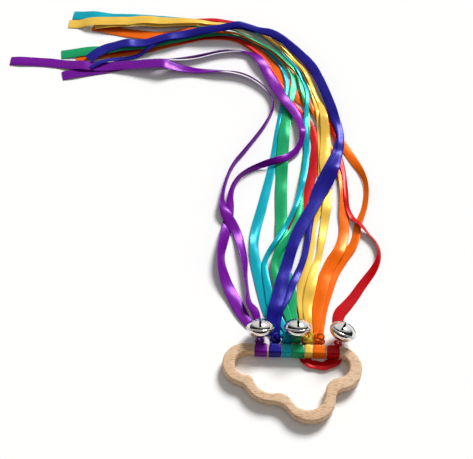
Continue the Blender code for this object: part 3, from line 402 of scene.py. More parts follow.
def light_scene():
    """A sun, a plain sky, a white backdrop for the camera and a darker room for mirrors."""
    sun = bpy.data.lights.new("sun", "SUN")
    sun.energy = SUN_STRENGTH
    sun.angle = SUN_ANGLE
    lamp = bpy.data.objects.new("sun", sun)
    lamp.rotation_euler = SUN_TRAVEL.to_track_quat("-Z", "Y").to_euler()
    bpy.context.scene.collection.objects.link(lamp)
    world = bpy.data.worlds.new("sky")
    world.use_nodes = True
    tree = world.node_tree
    plain = tree.nodes["Background"]
    plain.inputs["Strength"].default_value = SKY_STRENGTH
    plain.inputs["Color"].default_value = SKY_COLOUR
    shown = tree.nodes.new("ShaderNodeBackground")
    shown.inputs["Color"].default_value = WHITE
    room = tree.nodes.new("ShaderNodeBackground")
    way = tree.nodes.new("ShaderNodeTexCoord")
    facing = tree.nodes.new("ShaderNodeVectorMath")
    facing.operation = "DOT_PRODUCT"
    facing.inputs[1].default_value = ROOM_BRIGHT_WAY
    tree.links.new(way.outputs["Generated"], facing.inputs[0])
    rise = tree.nodes.new("ShaderNodeMapRange")
    rise.interpolation_type = "SMOOTHSTEP"
    for number, value in enumerate((ROOM_DARK_BELOW, ROOM_BRIGHT_ABOVE, ROOM_DARK, 1.0)):
        rise.inputs[number + 1].default_value = value
    tree.links.new(facing.outputs["Value"], rise.inputs[0])
    tree.links.new(rise.outputs[0], room.inputs["Strength"])
    rays = tree.nodes.new("ShaderNodeLightPath")
    mirrored = mixed(tree, rays.outputs["Is Glossy Ray"], plain, room)
    either = mixed(tree, rays.outputs["Is Camera Ray"], mirrored, shown)
    tree.links.new(either.outputs[0], tree.nodes["World Output"].inputs["Surface"])
    bpy.context.scene.world = world
    bpy.context.scene.view_settings.view_transform = "Standard"


def lay_floor():
    half = FLOOR_SIZE / 2
    mesh = bpy.data.meshes.new("floor")
    corners = [(-half, -half, 0), (half, -half, 0), (half, half, 0), (-half, half, 0)]
    mesh.from_pydata(corners, [], [(0, 1, 2, 3)])
    surface = bpy.data.materials.new("floor")
    surface.use_nodes = True
    shader = surface.node_tree.nodes["Principled BSDF"]
    shader.inputs["Base Color"].default_value = (*FLOOR_COLOUR, 1.0)
    shader.inputs["Roughness"].default_value = FLOOR_ROUGHNESS
    shader.inputs["Specular IOR Level"].default_value = 0.0
    mesh.materials.append(surface)
    floor = bpy.data.objects.new("floor", mesh)
    bpy.context.scene.collection.objects.link(floor)


class Nodes:
    """Adds shader nodes to one material, with the links that each one needs."""

    def __init__(self, name):
        self.material = bpy.data.materials.new(name)
        self.material.use_nodes = True
        self.tree = self.material.node_tree
        self.shader = self.tree.nodes["Principled BSDF"]

    def add(self, kind, settings=None, **links):
        node = self.tree.nodes.new("ShaderNode" + kind)
        for key, value in (settings or {}).items():
            setattr(node, key, value)
        for key, value in links.items():
            socket = node.inputs[int(key[1:])] if key[0] == "i" and key[1:].isdigit() else node.inputs[key]
            self.feed(socket, value)
        return node

    def feed(self, socket, value):
        if isinstance(value, bpy.types.NodeSocket):
            self.tree.links.new(value, socket)
        else:
            socket.default_value = value

    def math(self, operation, first, second=0.0):
        return self.add("Math", {"operation": operation}, i0=first, i1=second).outputs[0]

    def stretched(self, coordinates, scale):
        return self.add("VectorMath", {"operation": "MULTIPLY"}, i0=coordinates, i1=scale).outputs[0]

    def noise(self, coordinates, scale, detail=2.0):
        made = self.add("TexNoise", None, Vector=coordinates, Scale=scale, Detail=detail)
        return made.outputs["Fac"]

    def spread(self, value, low, high, out_low=0.0, out_high=1.0):
        """Maps low to high onto the two outputs, and stops at them."""
        made = self.add("MapRange", None, i0=value, i1=low, i2=high, i3=out_low, i4=out_high)
        return made.outputs[0]

    def blend(self, factor, first, second):
        made = self.add("Mix", {"data_type": "RGBA"})
        self.feed(made.inputs[0], factor)
        self.feed(made.inputs[6], first)
        self.feed(made.inputs[7], second)
        return made.outputs[2]

    def bump(self, height, strength, distance):
        made = self.add("Bump", None, Strength=strength, Distance=distance, Height=height)
        self.tree.links.new(made.outputs[0], self.shader.inputs["Normal"])

    def set(self, **values):
        for key, value in values.items():
            self.feed(self.shader.inputs[key.replace("_", " ")], value)


def scaled(colour, factor):
    return tuple(min(1.0, c * factor) for c in colour) + (1.0,)


def satin(name, colour, gloss):
    """Satin: fine threads along the ribbon, a closer woven line near each edge, and a pale gloss."""
    made = Nodes(name)
    place = made.add("UVMap", {"uv_map": "ribbon"}).outputs[0]
    split = made.add("SeparateXYZ", None, Vector=place)
    threads = made.noise(made.stretched(place, SATIN_THREADS), 1.0, 3.0)
    weft = made.noise(made.stretched(place, SATIN_WEFT), 1.0, 1.0)
    clouds = made.noise(made.stretched(place, SATIN_CLOUDS), 1.0, 2.0)
    tone = made.math("ADD", made.math("MULTIPLY", threads, 0.5), made.math("MULTIPLY", clouds, 0.5))
    dark, pale = (scaled(colour, shade) for shade in SATIN_SHADES)
    cloth = made.blend(made.spread(tone, *USUAL_NOISE), dark, pale)
    from_middle = made.math("ABSOLUTE", made.math("SUBTRACT", split.outputs[0], 0.5))
    selvedge = made.spread(from_middle, *SELVEDGE)
    edge = made.math("MULTIPLY", selvedge, SELVEDGE_SHARE)
    made.set(Base_Color=made.blend(edge, cloth, scaled(colour, SELVEDGE_SHADE)))
    made.set(Roughness=made.spread(threads, *USUAL_NOISE, *SATIN_ROUGHNESS))
    made.set(Metallic=SATIN_METALLIC, Specular_IOR_Level=gloss)
    height = made.math("ADD", threads, made.math("ADD", made.math("MULTIPLY", weft, 0.5), selvedge))
    made.bump(height, *SATIN_BUMP)
    return made.material


def beech():
    """Sanded beech: pale bands along the grain with short dark flecks."""
    made = Nodes("beech")
    place = made.add("TexCoord").outputs["Object"]
    bands = made.noise(made.stretched(place, BEECH_BANDS), 1.0, 3.0)
    pores = made.noise(made.stretched(place, BEECH_PORES), 1.0, 2.0)
    flecks = made.noise(made.stretched(place, BEECH_FLECKS), 1.0, 1.0)
    wood = made.blend(made.spread(bands, *USUAL_NOISE), (*BEECH_PALE, 1.0), (*BEECH_DARK, 1.0))
    marked = made.spread(flecks, 0.56, 0.68, 0.0, 0.7)
    wood = made.blend(marked, wood, (*BEECH_FLECK, 1.0))
    wood = made.blend(made.spread(pores, 0.45, 0.75, 0.0, 0.35), wood, (*BEECH_DARK, 1.0))
    made.set(Base_Color=wood, Roughness=made.spread(pores, *USUAL_NOISE, *BEECH_ROUGHNESS))
    made.set(Specular_IOR_Level=BEECH_GLOSS)
    made.bump(made.math("SUBTRACT", pores, marked), *BEECH_BUMP)
    return made.material


def nickel():
    """Polished plate with faint smears and fine polishing lines."""
    made = Nodes("nickel")
    place = made.add("TexCoord").outputs["Object"]
    smears = made.noise(place, NICKEL_SMEARS, 3.0)
    lines = made.noise(made.stretched(place, NICKEL_LINES), 1.0, 2.0)
    dark, pale = (scaled(NICKEL_COLOUR, shade) for shade in NICKEL_SHADES)
    made.set(Base_Color=made.blend(made.spread(smears, *USUAL_NOISE), dark, pale))
    made.set(Roughness=made.spread(smears, 0.35, 0.75, *NICKEL_ROUGHNESS), Metallic=1.0)
    made.bump(lines, *NICKEL_BUMP)
    return made.material


def painted_shade_inside():
    """The inside of a bell and its pea: painted near black as painted shade of the hollow, dull and blotched.
    """
    made = Nodes("painted_shade_inside")
    blotches = made.noise(made.add("TexCoord").outputs["Object"], STEEL_BLOTCHES, 3.0)
    made.set(Base_Color=made.blend(made.spread(blotches, *USUAL_NOISE), INSIDE_SHADE_DARK, INSIDE_SHADE_PALE))
    roughness = made.spread(blotches, *USUAL_NOISE, *STEEL_ROUGHNESS)
    made.set(Roughness=roughness, Metallic=STEEL_METALLIC)
    return made.material


def about_bar(name, points, faces):
    """An object from points about the middle of the bar."""
    mesh = bpy.data.meshes.new(name)
    mesh.from_pydata([Vector(p) + MIDDLE_OF_BAR for p in points], [], faces)
    made = bpy.data.objects.new(name, mesh)
    bpy.context.scene.collection.objects.link(made)
    return made


def smooth(mesh):
    mesh.shade_smooth()
    mesh.set_sharp_from_angle(angle=SHARP_FROM)


def piece(name, points, faces, surface, body, nodes, places=None):
    """One closed mesh that rides on a body and stands for CAD nodes. Places are its spots on the ribbon."""
    made = about_bar(name, points, faces)
    mesh = made.data
    if places:
        layer = mesh.uv_layers.new(name="ribbon")
        for corner in mesh.loops:
            layer.data[corner.index].uv = places[corner.vertex_index]
    smooth(mesh)
    mesh.materials.append(surface)
    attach(made, body)
    if nodes:
        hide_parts(*nodes)
    return made


def rows_to_faces(rows, count, closed_rows=False):
    """Four-sided faces over rows of points, each row a closed loop of the same count."""
    faces = []
    last = rows if closed_rows else rows - 1
    for row in range(last):
        above = (row + 1) % rows
        for i in range(count):
            j = (i + 1) % count
            faces.append((row * count + j, row * count + i, above * count + i, above * count + j))
    return faces


def end_faces(points, count):
    """The faces that close the first and the last row of points."""
    return [tuple(range(count)), tuple(range(points - 1, points - count - 1, -1))]


def turned_over(faces):
    return [tuple(reversed(face)) for face in faces]


def arc(centre, radius, start, end, steps):
    angles = [start + (end - start) * i / steps for i in range(steps + 1)]
    return [(centre[0] + radius * math.cos(a), centre[1] + radius * math.sin(a)) for a in angles]


def dip_centre(first, second, dip):
    """The centre of the arc that joins two lobes, on the outer side of the way from the first to the second."""
    near, far = first[2] + dip, second[2] + dip
    along = Vector((second[0] - first[0], second[1] - first[1]))
    span = along.length
    along.normalize()
    reach = (near * near - far * far + span * span) / (2 * span)
    side = math.sqrt(near * near - reach * reach)
    return (first[0] + along.x * reach + along.y * side, first[1] + along.y * reach - along.x * side)


def heading(start, end):
    return math.atan2(end[1] - start[1], end[0] - start[0])


def lobed_outline(lobes, dips, grow):
    """Lobes joined by dips, from the left end of the bar round to its right end, grown by a distance."""
    joins = [dip_centre(lobes[i], lobes[i + 1], dips[i]) for i in range(len(dips))]
    points = []
    for i, lobe in enumerate(lobes):
        start = heading(lobe, joins[i - 1]) if i else math.pi / 2
        end = heading(lobe, joins[i]) if i < len(joins) else math.pi / 2
        while end <= start:
            end += 2 * math.pi
        points += arc(lobe, lobe[2] + grow, start, end, LOBE_STEPS[i])
        if i < len(joins):
            start = heading(joins[i], lobe)
            end = heading(joins[i], lobes[i + 1])
            while end >= start:
                end -= 2 * math.pi
            points += arc(joins[i], dips[i] - grow, start, end, DIP_STEPS)[1:-1]
    return points


def ring_lobes(left, bump, deep, right, bar_edge):
    return (
        (left[0], bar_edge - left[1], left[1]), bump, deep, (right[0], bar_edge - right[1], right[1]))


def make_ring():
    outer = ring_lobes(OUTER_LEFT_LOBE, OUTER_BUMP_LOBE, OUTER_DEEP_LOBE, OUTER_RIGHT_LOBE, BAR_WIDTH / 2)
    hole = ring_lobes(HOLE_LEFT_LOBE, HOLE_BUMP_LOBE, HOLE_DEEP_LOBE, HOLE_RIGHT_LOBE, -BAR_WIDTH / 2)
    turns = [math.pi / 2 * i / EDGE_STEPS for i in range(EDGE_STEPS + 1)]
    profile = [(EDGE_ROUND * (1 - math.sin(a)), EDGE_ROUND * (1 - math.cos(a))) for a in turns]
    profile += [(inset, RING_THICKNESS - rise) for inset, rise in reversed(profile)]
    underside = BAR_HEIGHT - RING_THICKNESS / 2
    loops = [(lobed_outline(outer, OUTER_DIP_RADII, -inset), rise) for inset, rise in profile]
    loops += [(lobed_outline(hole, HOLE_DIP_RADII, inset), rise) for inset, rise in reversed(profile)]
    points = [(x, y, underside + rise) for outline, rise in loops for x, y in outline]
    faces = turned_over(rows_to_faces(len(loops), len(loops[0][0]), closed_rows=True))
    piece("beech_ring", points, faces, beech(), "ring", ["cloud_ring"])


def wrap_places():
    """The middle and the width of each wrap along the bar, centred as a row."""
    widths = {c: RIBBON_WIDTH - WRAP_PULL_IN - TUCKED_WIDTH.get(c, 0.0) for c in COLOURS}
    gaps = {c: BARE_BAR_AFTER.get(c, WRAP_GAP) for c in COLOURS[:-1]}
    edge = WRAPS_MIDDLE - (sum(widths.values()) + sum(gaps.values())) / 2
    places = {}
    for colour in COLOURS:
        places[colour] = (edge + widths[colour] / 2, widths[colour])
        edge += widths[colour] + gaps.get(colour, 0.0)
    return places


def wrap_section(drop):
    """Points round the bar, the drop below the outside of the wrap, with the bulge at the back to the knot."""
    half_y = BAR_WIDTH / 2 + WRAP_BUILD - drop
    half_z = RING_THICKNESS / 2 + WRAP_BUILD - drop
    corner = WRAP_CORNER - drop
    back = WRAP_REACH - drop
    points = []
    for y_side, z_side, quarter in ((1, 1, 0), (-1, 1, 1), (-1, -1, 2), (1, -1, 3)):
        centre = (y_side * (half_y - corner), z_side * (half_z - corner))
        bend = arc(centre, corner, quarter * math.pi / 2, (quarter + 1) * math.pi / 2, WRAP_CORNER_STEPS)
        if points:
            start, end = points[-1], bend[0]
            for k in range(1, WRAP_FLAT_STEPS):
                t = k / WRAP_FLAT_STEPS
                points.append((start[0] + (end[0] - start[0]) * t, start[1] + (end[1] - start[1]) * t))
        points += bend
    for k in range(1, WRAP_FLAT_STEPS * 2):
        share = -1 + k / WRAP_FLAT_STEPS
        points.append((half_y + (back - half_y) * (1 - share * share), share * (half_z - corner)))
    return points


def make_wrap(colour, middle, width, surface):
    """A band round the bar. It is crowned, its edges hug the wood and pleats gather it towards its knot."""
    points, places = [], []
    shift = COLOURS.index(colour) * WRAP_SEED_STEP
    for layer in (0, 1):
        for m in range(WRAP_ACROSS + 1):
            across = -1 + 2 * m / WRAP_ACROSS
            drop = WRAP_EDGE_DROP * abs(across) ** WRAP_EDGE_POWER + layer * RIBBON_THICKNESS
            section = wrap_section(drop)
            count = len(section)
            for i, (y, z) in enumerate(section):
                gather = max(0.0, y / WRAP_REACH) ** WRAP_GATHER_POWER
                fold = noise.noise(Vector((across * WRAP_FOLDS[0] + shift, i * WRAP_FOLDS[1], shift)))
                pleat = WRAP_PLEAT * (gather * math.cos(across * 4 * math.pi) - WRAP_FOLD_SHARE * abs(fold))
                inward = 1 + (pleat - WRAP_PLEAT * gather) / math.hypot(y, z)
                x = middle + across * width / 2 * (1 - WRAP_GATHER * gather)
                points.append((x, y * inward, BAR_HEIGHT + z * inward))
                places.append((0.5 + across / 2, i / count * WRAP_UV_LENGTH))
    rows = WRAP_ACROSS + 1
    outside = turned_over(rows_to_faces(rows, count))
    first = rows * count
    inside = [tuple(first + v for v in reversed(f)) for f in outside]
    faces = outside + inside
    for i in range(count):
        j = (i + 1) % count
        faces.append((j, i, first + i, first + j))
        last = (rows - 1) * count
        faces.append((last + i, last + j, first + last + j, first + last + i))
    made = piece(colour + "_satin_wrap", points, faces, surface, "ring",
                 [colour + "_ribbon_wrap"], places)
    round_bar = wrap_section(0.0)


def back_and_forth(share):
    """Goes across the ribbon's width and back again as the share goes from 0 to 1, short of its edges."""
    return 0.1 + 0.8 * abs(1 - 2 * share)


def ridges(place, seed):
    """From 0 in the creases to 1 on the folds of crumpled ribbon."""
    return 1 - min(1.0, CREASE_SHARPNESS * abs(noise.noise(place + Vector((seed, seed * 0.7, 0)))))


def make_plain_knot(colour, middle, surface):
    """A crumpled lump of folds that cross it, hollowed in front to clear the wraps as the ribbons swing."""
    centre_y = SWING_RADIUS + KNOT_HALF_DEPTH
    seed = KNOT_SEED + COLOURS.index(colour) * KNOT_SEED_STEP
    points, places = [], []
    for row in range(KNOT_ROWS + 1):
        tilt = math.pi * (KNOT_POLE + (1 - 2 * KNOT_POLE) * row / KNOT_ROWS)
        for i in range(KNOT_AROUND):
            turn = 2 * math.pi * i / KNOT_AROUND
            way = Vector((math.cos(tilt), math.sin(tilt) * math.cos(turn), math.sin(tilt) * math.sin(turn)))
            lean = Vector((way.x * 1.3 + way.z * 0.9, way.y * 1.2, way.z * 2.1 - way.x * 0.8))
            crumple = KNOT_FOLD_DEPTH * (ridges(lean * KNOT_FOLDS, seed) - 1)
            y = centre_y + (KNOT_HALF_DEPTH + crumple) * way.y
            z = KNOT_CORE * (KNOT_HALF_HEIGHT + crumple) * way.z
            y = max(y, math.sqrt(SWING_RADIUS ** 2 - z ** 2))
            points.append((middle + KNOT_CORE * (KNOT_HALF_WIDTH + crumple) * way.x, y, BAR_HEIGHT + z))
            places.append((back_and_forth(i / KNOT_AROUND), row * KNOT_UV_STEP))
    faces = rows_to_faces(KNOT_ROWS + 1, KNOT_AROUND) + end_faces(len(points), KNOT_AROUND)
    piece(colour + "_satin_knot", points, faces, surface, "ribbons",
          [colour + "_ribbon_knot"], places)


def strand_mesh(line, outs, half_width, half_thick):
    """A closed loop of gathered ribbon along a line, flat against the outs, with pleats along it."""
    points, places = [], []
    for i, (place, out) in enumerate(zip(line, outs)):
        ahead = (line[(i + 1) % len(line)] - line[i - 1]).normalized()
        side = ahead.cross(out).normalized()
        up = side.cross(ahead)
        for k in range(STRAND_SIDES):
            turn = 2 * math.pi * k / STRAND_SIDES
            pleat = STRAND_PLEAT * math.cos(STRAND_PLEATS * math.pi * math.cos(turn)) * abs(math.sin(turn))
            spread = side * half_width * math.cos(turn)
            points.append(place + spread + up * (half_thick + pleat) * math.sin(turn))
            places.append((0.5 + 0.4 * math.cos(turn), i * STRAND_UV_STEP))
    return points, rows_to_faces(len(line), STRAND_SIDES, closed_rows=True), places


def make_knot_strand(colour, middle, surface):
    """The ribbon tied over itself in front of and behind the core of a plain knot."""
    centre = Vector((middle, SWING_RADIUS + KNOT_HALF_DEPTH, BAR_HEIGHT))
    start = COLOURS.index(colour) * STRAND_START_STEP
    line, outs = [], []
    for i in range(STRAND_STEPS):
        t = 2 * math.pi * i / STRAND_STEPS
        round_x, round_z = math.cos(2 * t + start), math.sin(2 * t + start)
        ring = STRAND_RING + STRAND_WEAVE * math.cos(3 * t)
        spot = (ring * round_x, STRAND_WEAVE * math.sin(3 * t), ring * round_z)
        spot = [value * stretch for value, stretch in zip(spot, STRAND_STRETCH)]
        line.append(centre + Vector(spot))
        outs.append(Vector((math.cos(3 * t) * round_x, math.sin(3 * t), math.cos(3 * t) * round_z)))
    points, faces, places = strand_mesh(line, outs, STRAND_HALF_WIDTH, STRAND_HALF_THICK)
    piece(colour + "_satin_knot_strand", points, faces, surface, "ribbons", [], places)


def make_curls(colour, middle, surface):
    """Small loops of ribbon that stand up behind a plain knot."""
    for number, (side, back, rise, wide, tall, yaw, lean) in enumerate(CURLS[colour]):
        centre = Vector((middle + side, SWING_RADIUS + back, BAR_HEIGHT + rise))
        turned = Matrix.Rotation(math.radians(yaw), 4, "Z") @ Matrix.Rotation(math.radians(lean), 4, "X")
        line, outs = [], []
        for i in range(CURL_STEPS):
            t = 2 * math.pi * i / CURL_STEPS
            spot = Vector((wide * math.cos(t), CURL_SKEW * wide * math.sin(2 * t), tall * math.sin(t)))
            face = Vector((math.cos(t), CURL_LEAN * math.sin(2 * t), math.sin(t)))
            line.append(centre + turned @ spot)
            outs.append(turned @ face)
        points, faces, places = strand_mesh(line, outs, STRAND_HALF_WIDTH, STRAND_HALF_THICK)
        piece(f"{colour}_satin_curl_{number}", points, faces, surface, "ribbons", [], places)


def tie_place(colour, middle):
    """The middle of the strand that goes through the bell's loop."""
    bell = BELL_ON[colour]
    return Vector((middle + BELL_TIE_SIDE[bell], TIE_DEPTH + BELL_TIE_BACK[bell], TIE_HEIGHT))


def make_bell_knot(colour, middle, surface):
    """A ring of gathered ribbon, thin on top where it goes through the bell's loop, with folds along it."""
    strand = tie_place(colour, middle)
    turned = Matrix.Rotation(BELL_TURN[BELL_ON[colour]], 4, "Z")
    seed = TIE_SEED + COLOURS.index(colour) * TIE_SEED_STEP
    around_folds, along_folds, skew_folds = TIE_FOLDS
    points, places = [], []
    for i in range(TIE_AROUND):
        turn = 2 * math.pi * i / TIE_AROUND
        thick = TIE_STRAND_RADIUS + (TIE_SIDE_RADIUS - TIE_STRAND_RADIUS) * (1 - math.cos(turn)) / 2
        for k in range(TIE_SIDES):
            lean = 2 * math.pi * k / TIE_SIDES
            spot = Vector((math.cos(lean), math.sin(lean), 0)) * around_folds
            spot.z = math.cos(turn) * along_folds
            fold = ridges(spot + Vector((0, 0, math.sin(turn) * skew_folds)), seed) - 1
            reach = thick + TIE_FOLD_DEPTH * fold * thick / TIE_SIDE_RADIUS
            out = reach * math.cos(lean)
            ring_point = Vector((
                (TIE_HALF_WIDTH + out) * math.sin(turn), reach * math.sin(lean),
                (TIE_HALF_HEIGHT + out) * math.cos(turn) - TIE_HALF_HEIGHT))
            points.append(strand + turned @ ring_point)
            places.append((back_and_forth(k / TIE_SIDES), i * TIE_UV_STEP))
    faces = rows_to_faces(TIE_AROUND, TIE_SIDES, closed_rows=True)
    piece(colour + "_satin_tie", points, faces, surface, "ribbons",
          [colour + "_ribbon_knot"], places)


def bell_frame(bell, strand):
    """Places the bell's own axes, with its local Z from the loop to the slotted dome, at the bell's middle."""
    turn = Matrix.Rotation(BELL_TURN[bell], 4, "Z")
    lean = Matrix.Rotation(BELL_RISE - math.pi / 2, 4, "X")
    axes = turn @ lean
    return Matrix.Translation(strand + axes @ Vector((0, 0, LOOP_TO_CENTRE))) @ axes


def lathe(profile, segments):
    points = []
    for radius, height in profile:
        for i in range(segments):
            turn = 2 * math.pi * i / segments
            points.append(Vector((radius * math.cos(turn), radius * math.sin(turn), height)))
    return points, turned_over(rows_to_faces(len(profile), segments, closed_rows=True))


def dome_profile(radius, half_height, pole_radius, steps):
    """Points on a flattened dome from its equator to a small circle about its pole."""
    last = math.acos(pole_radius / radius)
    turns = [last * i / steps for i in range(steps + 1)]
    return [(radius * math.cos(a), half_height * math.sin(a)) for a in turns]


def cut_away(target, cutters):
    """Cuts the shapes out of the target's mesh and deletes them."""
    for shape in cutters:
        change = target.modifiers.new("cut", "BOOLEAN")
        change.operation = "DIFFERENCE"
        change.solver = "EXACT"
        change.object = shape
    ready = target.evaluated_get(bpy.context.evaluated_depsgraph_get())
    mesh = bpy.data.meshes.new_from_object(ready)
    target.modifiers.clear()
    target.data = mesh
    smooth(mesh)
    for shape in cutters:
        bpy.data.objects.remove(shape, do_unlink=True)


def line_inside(shell, first_row, inside):
    """Gives the faces of a lathed shell from that row on the inside's material."""
    shell.data.materials.append(inside)
    for face in shell.data.polygons:
        if face.index >= first_row * BELL_SEGMENTS:
            face.material_index = 1


def make_bell_crown(bell, place, metal, inside):
    hole = LOOP_LEG_OFFSET + LOOP_WIRE_RADIUS + SEAT_GAP
    outer = dome_profile(BELL_RADIUS, BELL_HALF_HEIGHT, hole, DOME_STEPS)
    inner = dome_profile(BELL_RADIUS - BELL_WALL, BELL_HALF_HEIGHT - BELL_WALL, hole, DOME_STEPS)
    profile = [(r, -h - SEAT_GAP / 2) for r, h in outer + inner[::-1]]
    points, faces = lathe(profile, BELL_SEGMENTS)
    crown = piece("nickel_crown_" + bell, [place @ p for p in points], turned_over(faces), metal,
                  "bell_" + bell, [f"bell_{bell}_crown"])
    line_inside(crown, len(outer), inside)


def make_bell_dome(bell, place, metal, inside):
    """The lower shell, with a rounded rim over the crown's edge and crossed slots that end in round holes."""
    outer = dome_profile(BELL_RADIUS, BELL_HALF_HEIGHT, DOME_POLE_RADIUS, DOME_STEPS)
    inner = dome_profile(BELL_RADIUS - BELL_WALL, BELL_HALF_HEIGHT - BELL_WALL, DOME_POLE_RADIUS, DOME_STEPS)
    half_rim = RIM_HEIGHT / 2
    rim_middle = SEAT_GAP / 2 + half_rim
    turns = [math.pi * (i / RIM_STEPS - 0.5) for i in range(RIM_STEPS + 1)]
    rim = [(BELL_RADIUS + RIM_OVERHANG * math.cos(a), rim_middle + half_rim * math.sin(a)) for a in turns]
    above = [(r, h) for r, h in outer if h > SEAT_GAP / 2 + RIM_HEIGHT + RIM_OVERHANG / 4]
    profile = rim + above + [(r, h + SEAT_GAP / 2) for r, h in reversed(inner)]
    points, faces = lathe(profile, BELL_SEGMENTS)
    dome = piece("nickel_dome_" + bell, [place @ p for p in points], faces, metal, "bell_" + bell,
                 [f"bell_{bell}_slotted_dome"])
    line_inside(dome, len(rim) + len(above), inside)
    reach = BELL_RADIUS + RIM_OVERHANG
    floor_z = SEAT_GAP / 2 + RIM_HEIGHT + SLOT_END_ABOVE_RIM
    cutters = []
    for number in range(2):
        turn = place @ Matrix.Rotation(number * math.pi / 2, 4, "Z")
        corners = [(x, y, z) for x in (-SLOT_WIDTH / 2, SLOT_WIDTH / 2) for y in (-reach, reach)
                   for z in (floor_z, BELL_HALF_HEIGHT * 2)]
        cutters.append(about_bar("slot", [turn @ Vector(c) for c in corners], BOX_FACES))
        ends = []
        for end in (-reach, reach):
            for a in [2 * math.pi * i / SLOT_END_SIDES for i in range(SLOT_END_SIDES)]:
                ends.append(turn @ Vector((SLOT_END_RADIUS * math.cos(a), end,
                                           floor_z + SLOT_END_RISE + SLOT_END_RADIUS * math.sin(a))))
        drill_faces = turned_over(rows_to_faces(2, SLOT_END_SIDES))
        drill_faces += turned_over(end_faces(2 * SLOT_END_SIDES, SLOT_END_SIDES))
        cutters.append(about_bar("drill", ends, drill_faces))
    cut_away(dome, cutters)


def tube(path, side, radius, sides):
    """A closed round tube along a flat path, whose flat is square to the side vector."""
    points = []
    for i, place in enumerate(path):
        ahead = path[min(i + 1, len(path) - 1)] - path[max(i - 1, 0)]
        across = ahead.normalized().cross(side)
        for k in range(sides):
            turn = 2 * math.pi * k / sides
            points.append(place + radius * (math.cos(turn) * side + math.sin(turn) * across))
    return points, rows_to_faces(len(path), sides) + end_faces(len(points), sides)


def make_bell_loop(bell, place, metal):
    """A wire bent in a loop, with both legs through the crown's hole and splayed inside."""
    crown = -BELL_HALF_HEIGHT
    middle = crown - LOOP_STAND_OFF - LOOP_RADIUS
    opening = math.asin(LOOP_LEG_OFFSET / LOOP_RADIUS)
    inside = crown + BELL_WALL + 2 * LOOP_WIRE_RADIUS + 2 * SEAT_GAP
    bow = []
    for i in range(BOW_STEPS + 1):
        a = opening + (2 * math.pi - 2 * opening) * i / BOW_STEPS
        bow.append((LOOP_RADIUS * math.sin(a), middle + LOOP_RADIUS * math.cos(a)))
    leg = [(LEG_SPLAY, inside + SEAT_GAP), (LOOP_LEG_OFFSET + LOOP_WIRE_RADIUS, inside),
           (LOOP_LEG_OFFSET, inside - LOOP_WIRE_RADIUS)]
    flat = leg + bow + [(-y, z) for y, z in reversed(leg)]
    path = [place @ Vector((0, y, z)) for y, z in flat]
    side = (place.to_3x3() @ Vector((1, 0, 0))).normalized()
    points, faces = tube(path, side, LOOP_WIRE_RADIUS, WIRE_SIDES)
    piece("nickel_loop_" + bell, points, turned_over(faces), metal, "bell_" + bell,
          [f"bell_{bell}_loop"])


def make_bell(bell, strand, metal, inside):
    place = bell_frame(bell, strand)
    make_bell_crown(bell, place, metal, inside)
    make_bell_dome(bell, place, metal, inside)
    make_bell_loop(bell, place, metal)
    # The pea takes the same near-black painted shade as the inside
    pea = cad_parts[f"bell_{bell}_pea"]
    pea.data.materials.clear()
    pea.data.materials.append(inside)


def station_distances(length, first_pitch, pitch):
    """Distances along a route, close together at its start and then a pitch apart."""
    distances = [0.0]
    step = first_pitch
    while distances[-1] < length:
        distances.append(distances[-1] + step)
        step = min(pitch, step * PITCH_GROWTH)
    return [d * length / distances[-1] for d in distances]


def between(points, i, t):
    """A smooth curve's point after the i-th one."""
    before = points[max(i - 1, 0)]
    start, end = points[i], points[i + 1]
    after = points[min(i + 2, len(points) - 1)]
    return 0.5 * (2 * start + (end - before) * t + (2 * before - 5 * start + 4 * end - after) * t * t
                  + (3 * start - before - 3 * end + after) * t ** 3)


def smooth_route(points, first_pitch, pitch):
    """Stations along a smooth curve through the given points."""
    fine = [between(points, i, k / ROUTE_STEPS) for i in range(len(points) - 1) for k in range(ROUTE_STEPS)]
    fine.append(points[-1])
    lengths = [0.0]
    for i in range(1, len(fine)):
        lengths.append(lengths[-1] + (fine[i].xy - fine[i - 1].xy).length)
    spaced = []
    spot = 0
    for want in station_distances(lengths[-1], first_pitch, pitch):
        while spot < len(fine) - 2 and lengths[spot + 1] < want:
            spot += 1
        step = max(lengths[spot + 1] - lengths[spot], 1e-9)
        spaced.append(fine[spot].lerp(fine[spot + 1], min(1.0, (want - lengths[spot]) / step)))
    return spaced


def slack_end(places):
    """Where the slack turn of the red ribbon goes under the bar, between the green and the yellow wrap."""
    return places["green"][0] + places["green"][1] / 2


def tail_start(name, places):
    """Where a tail leaves its knot."""
    if name == SLACK_TAIL:
        return Vector((slack_end(places), SWING_RADIUS + SLACK_TUCK, FLOOR_GAP))
    colour, side = name.split("_")
    offset = -TAIL_SPREAD if side == "left" else TAIL_SPREAD
    middle = places[colour][0]
    if colour in BELL_ON:
        strand = tie_place(colour, middle)
        back = TIE_SIDE_RADIUS + TIE_HALF_WIDTH * abs(math.sin(BELL_TURN[BELL_ON[colour]]))
        return Vector((strand.x + offset, strand.y + back, TAIL_START_HEIGHT))
    return Vector((middle + offset, KNOT_BACK - TAIL_UNDER_KNOT, TAIL_START_HEIGHT))


def sections_of(stations, first=None, last=None):
    """Every station's plan point, the half of the ribbon across it and the direction its face points."""
    sections = []
    for i, station in enumerate(stations):
        ahead = (stations[min(i + 1, len(stations) - 1)].xy - stations[max(i - 1, 0)].xy).normalized()
        if i == 0 and first:
            ahead = first
        if i == len(stations) - 1 and last:
            ahead = last
        tilt = station.z
        across = Vector((-ahead.y * math.cos(tilt), ahead.x * math.cos(tilt), math.sin(tilt)))
        normal = Vector((ahead.x, ahead.y, 0)).cross(across)
        sections.append((station.xy, across * station.w / 2, normal))
    return sections


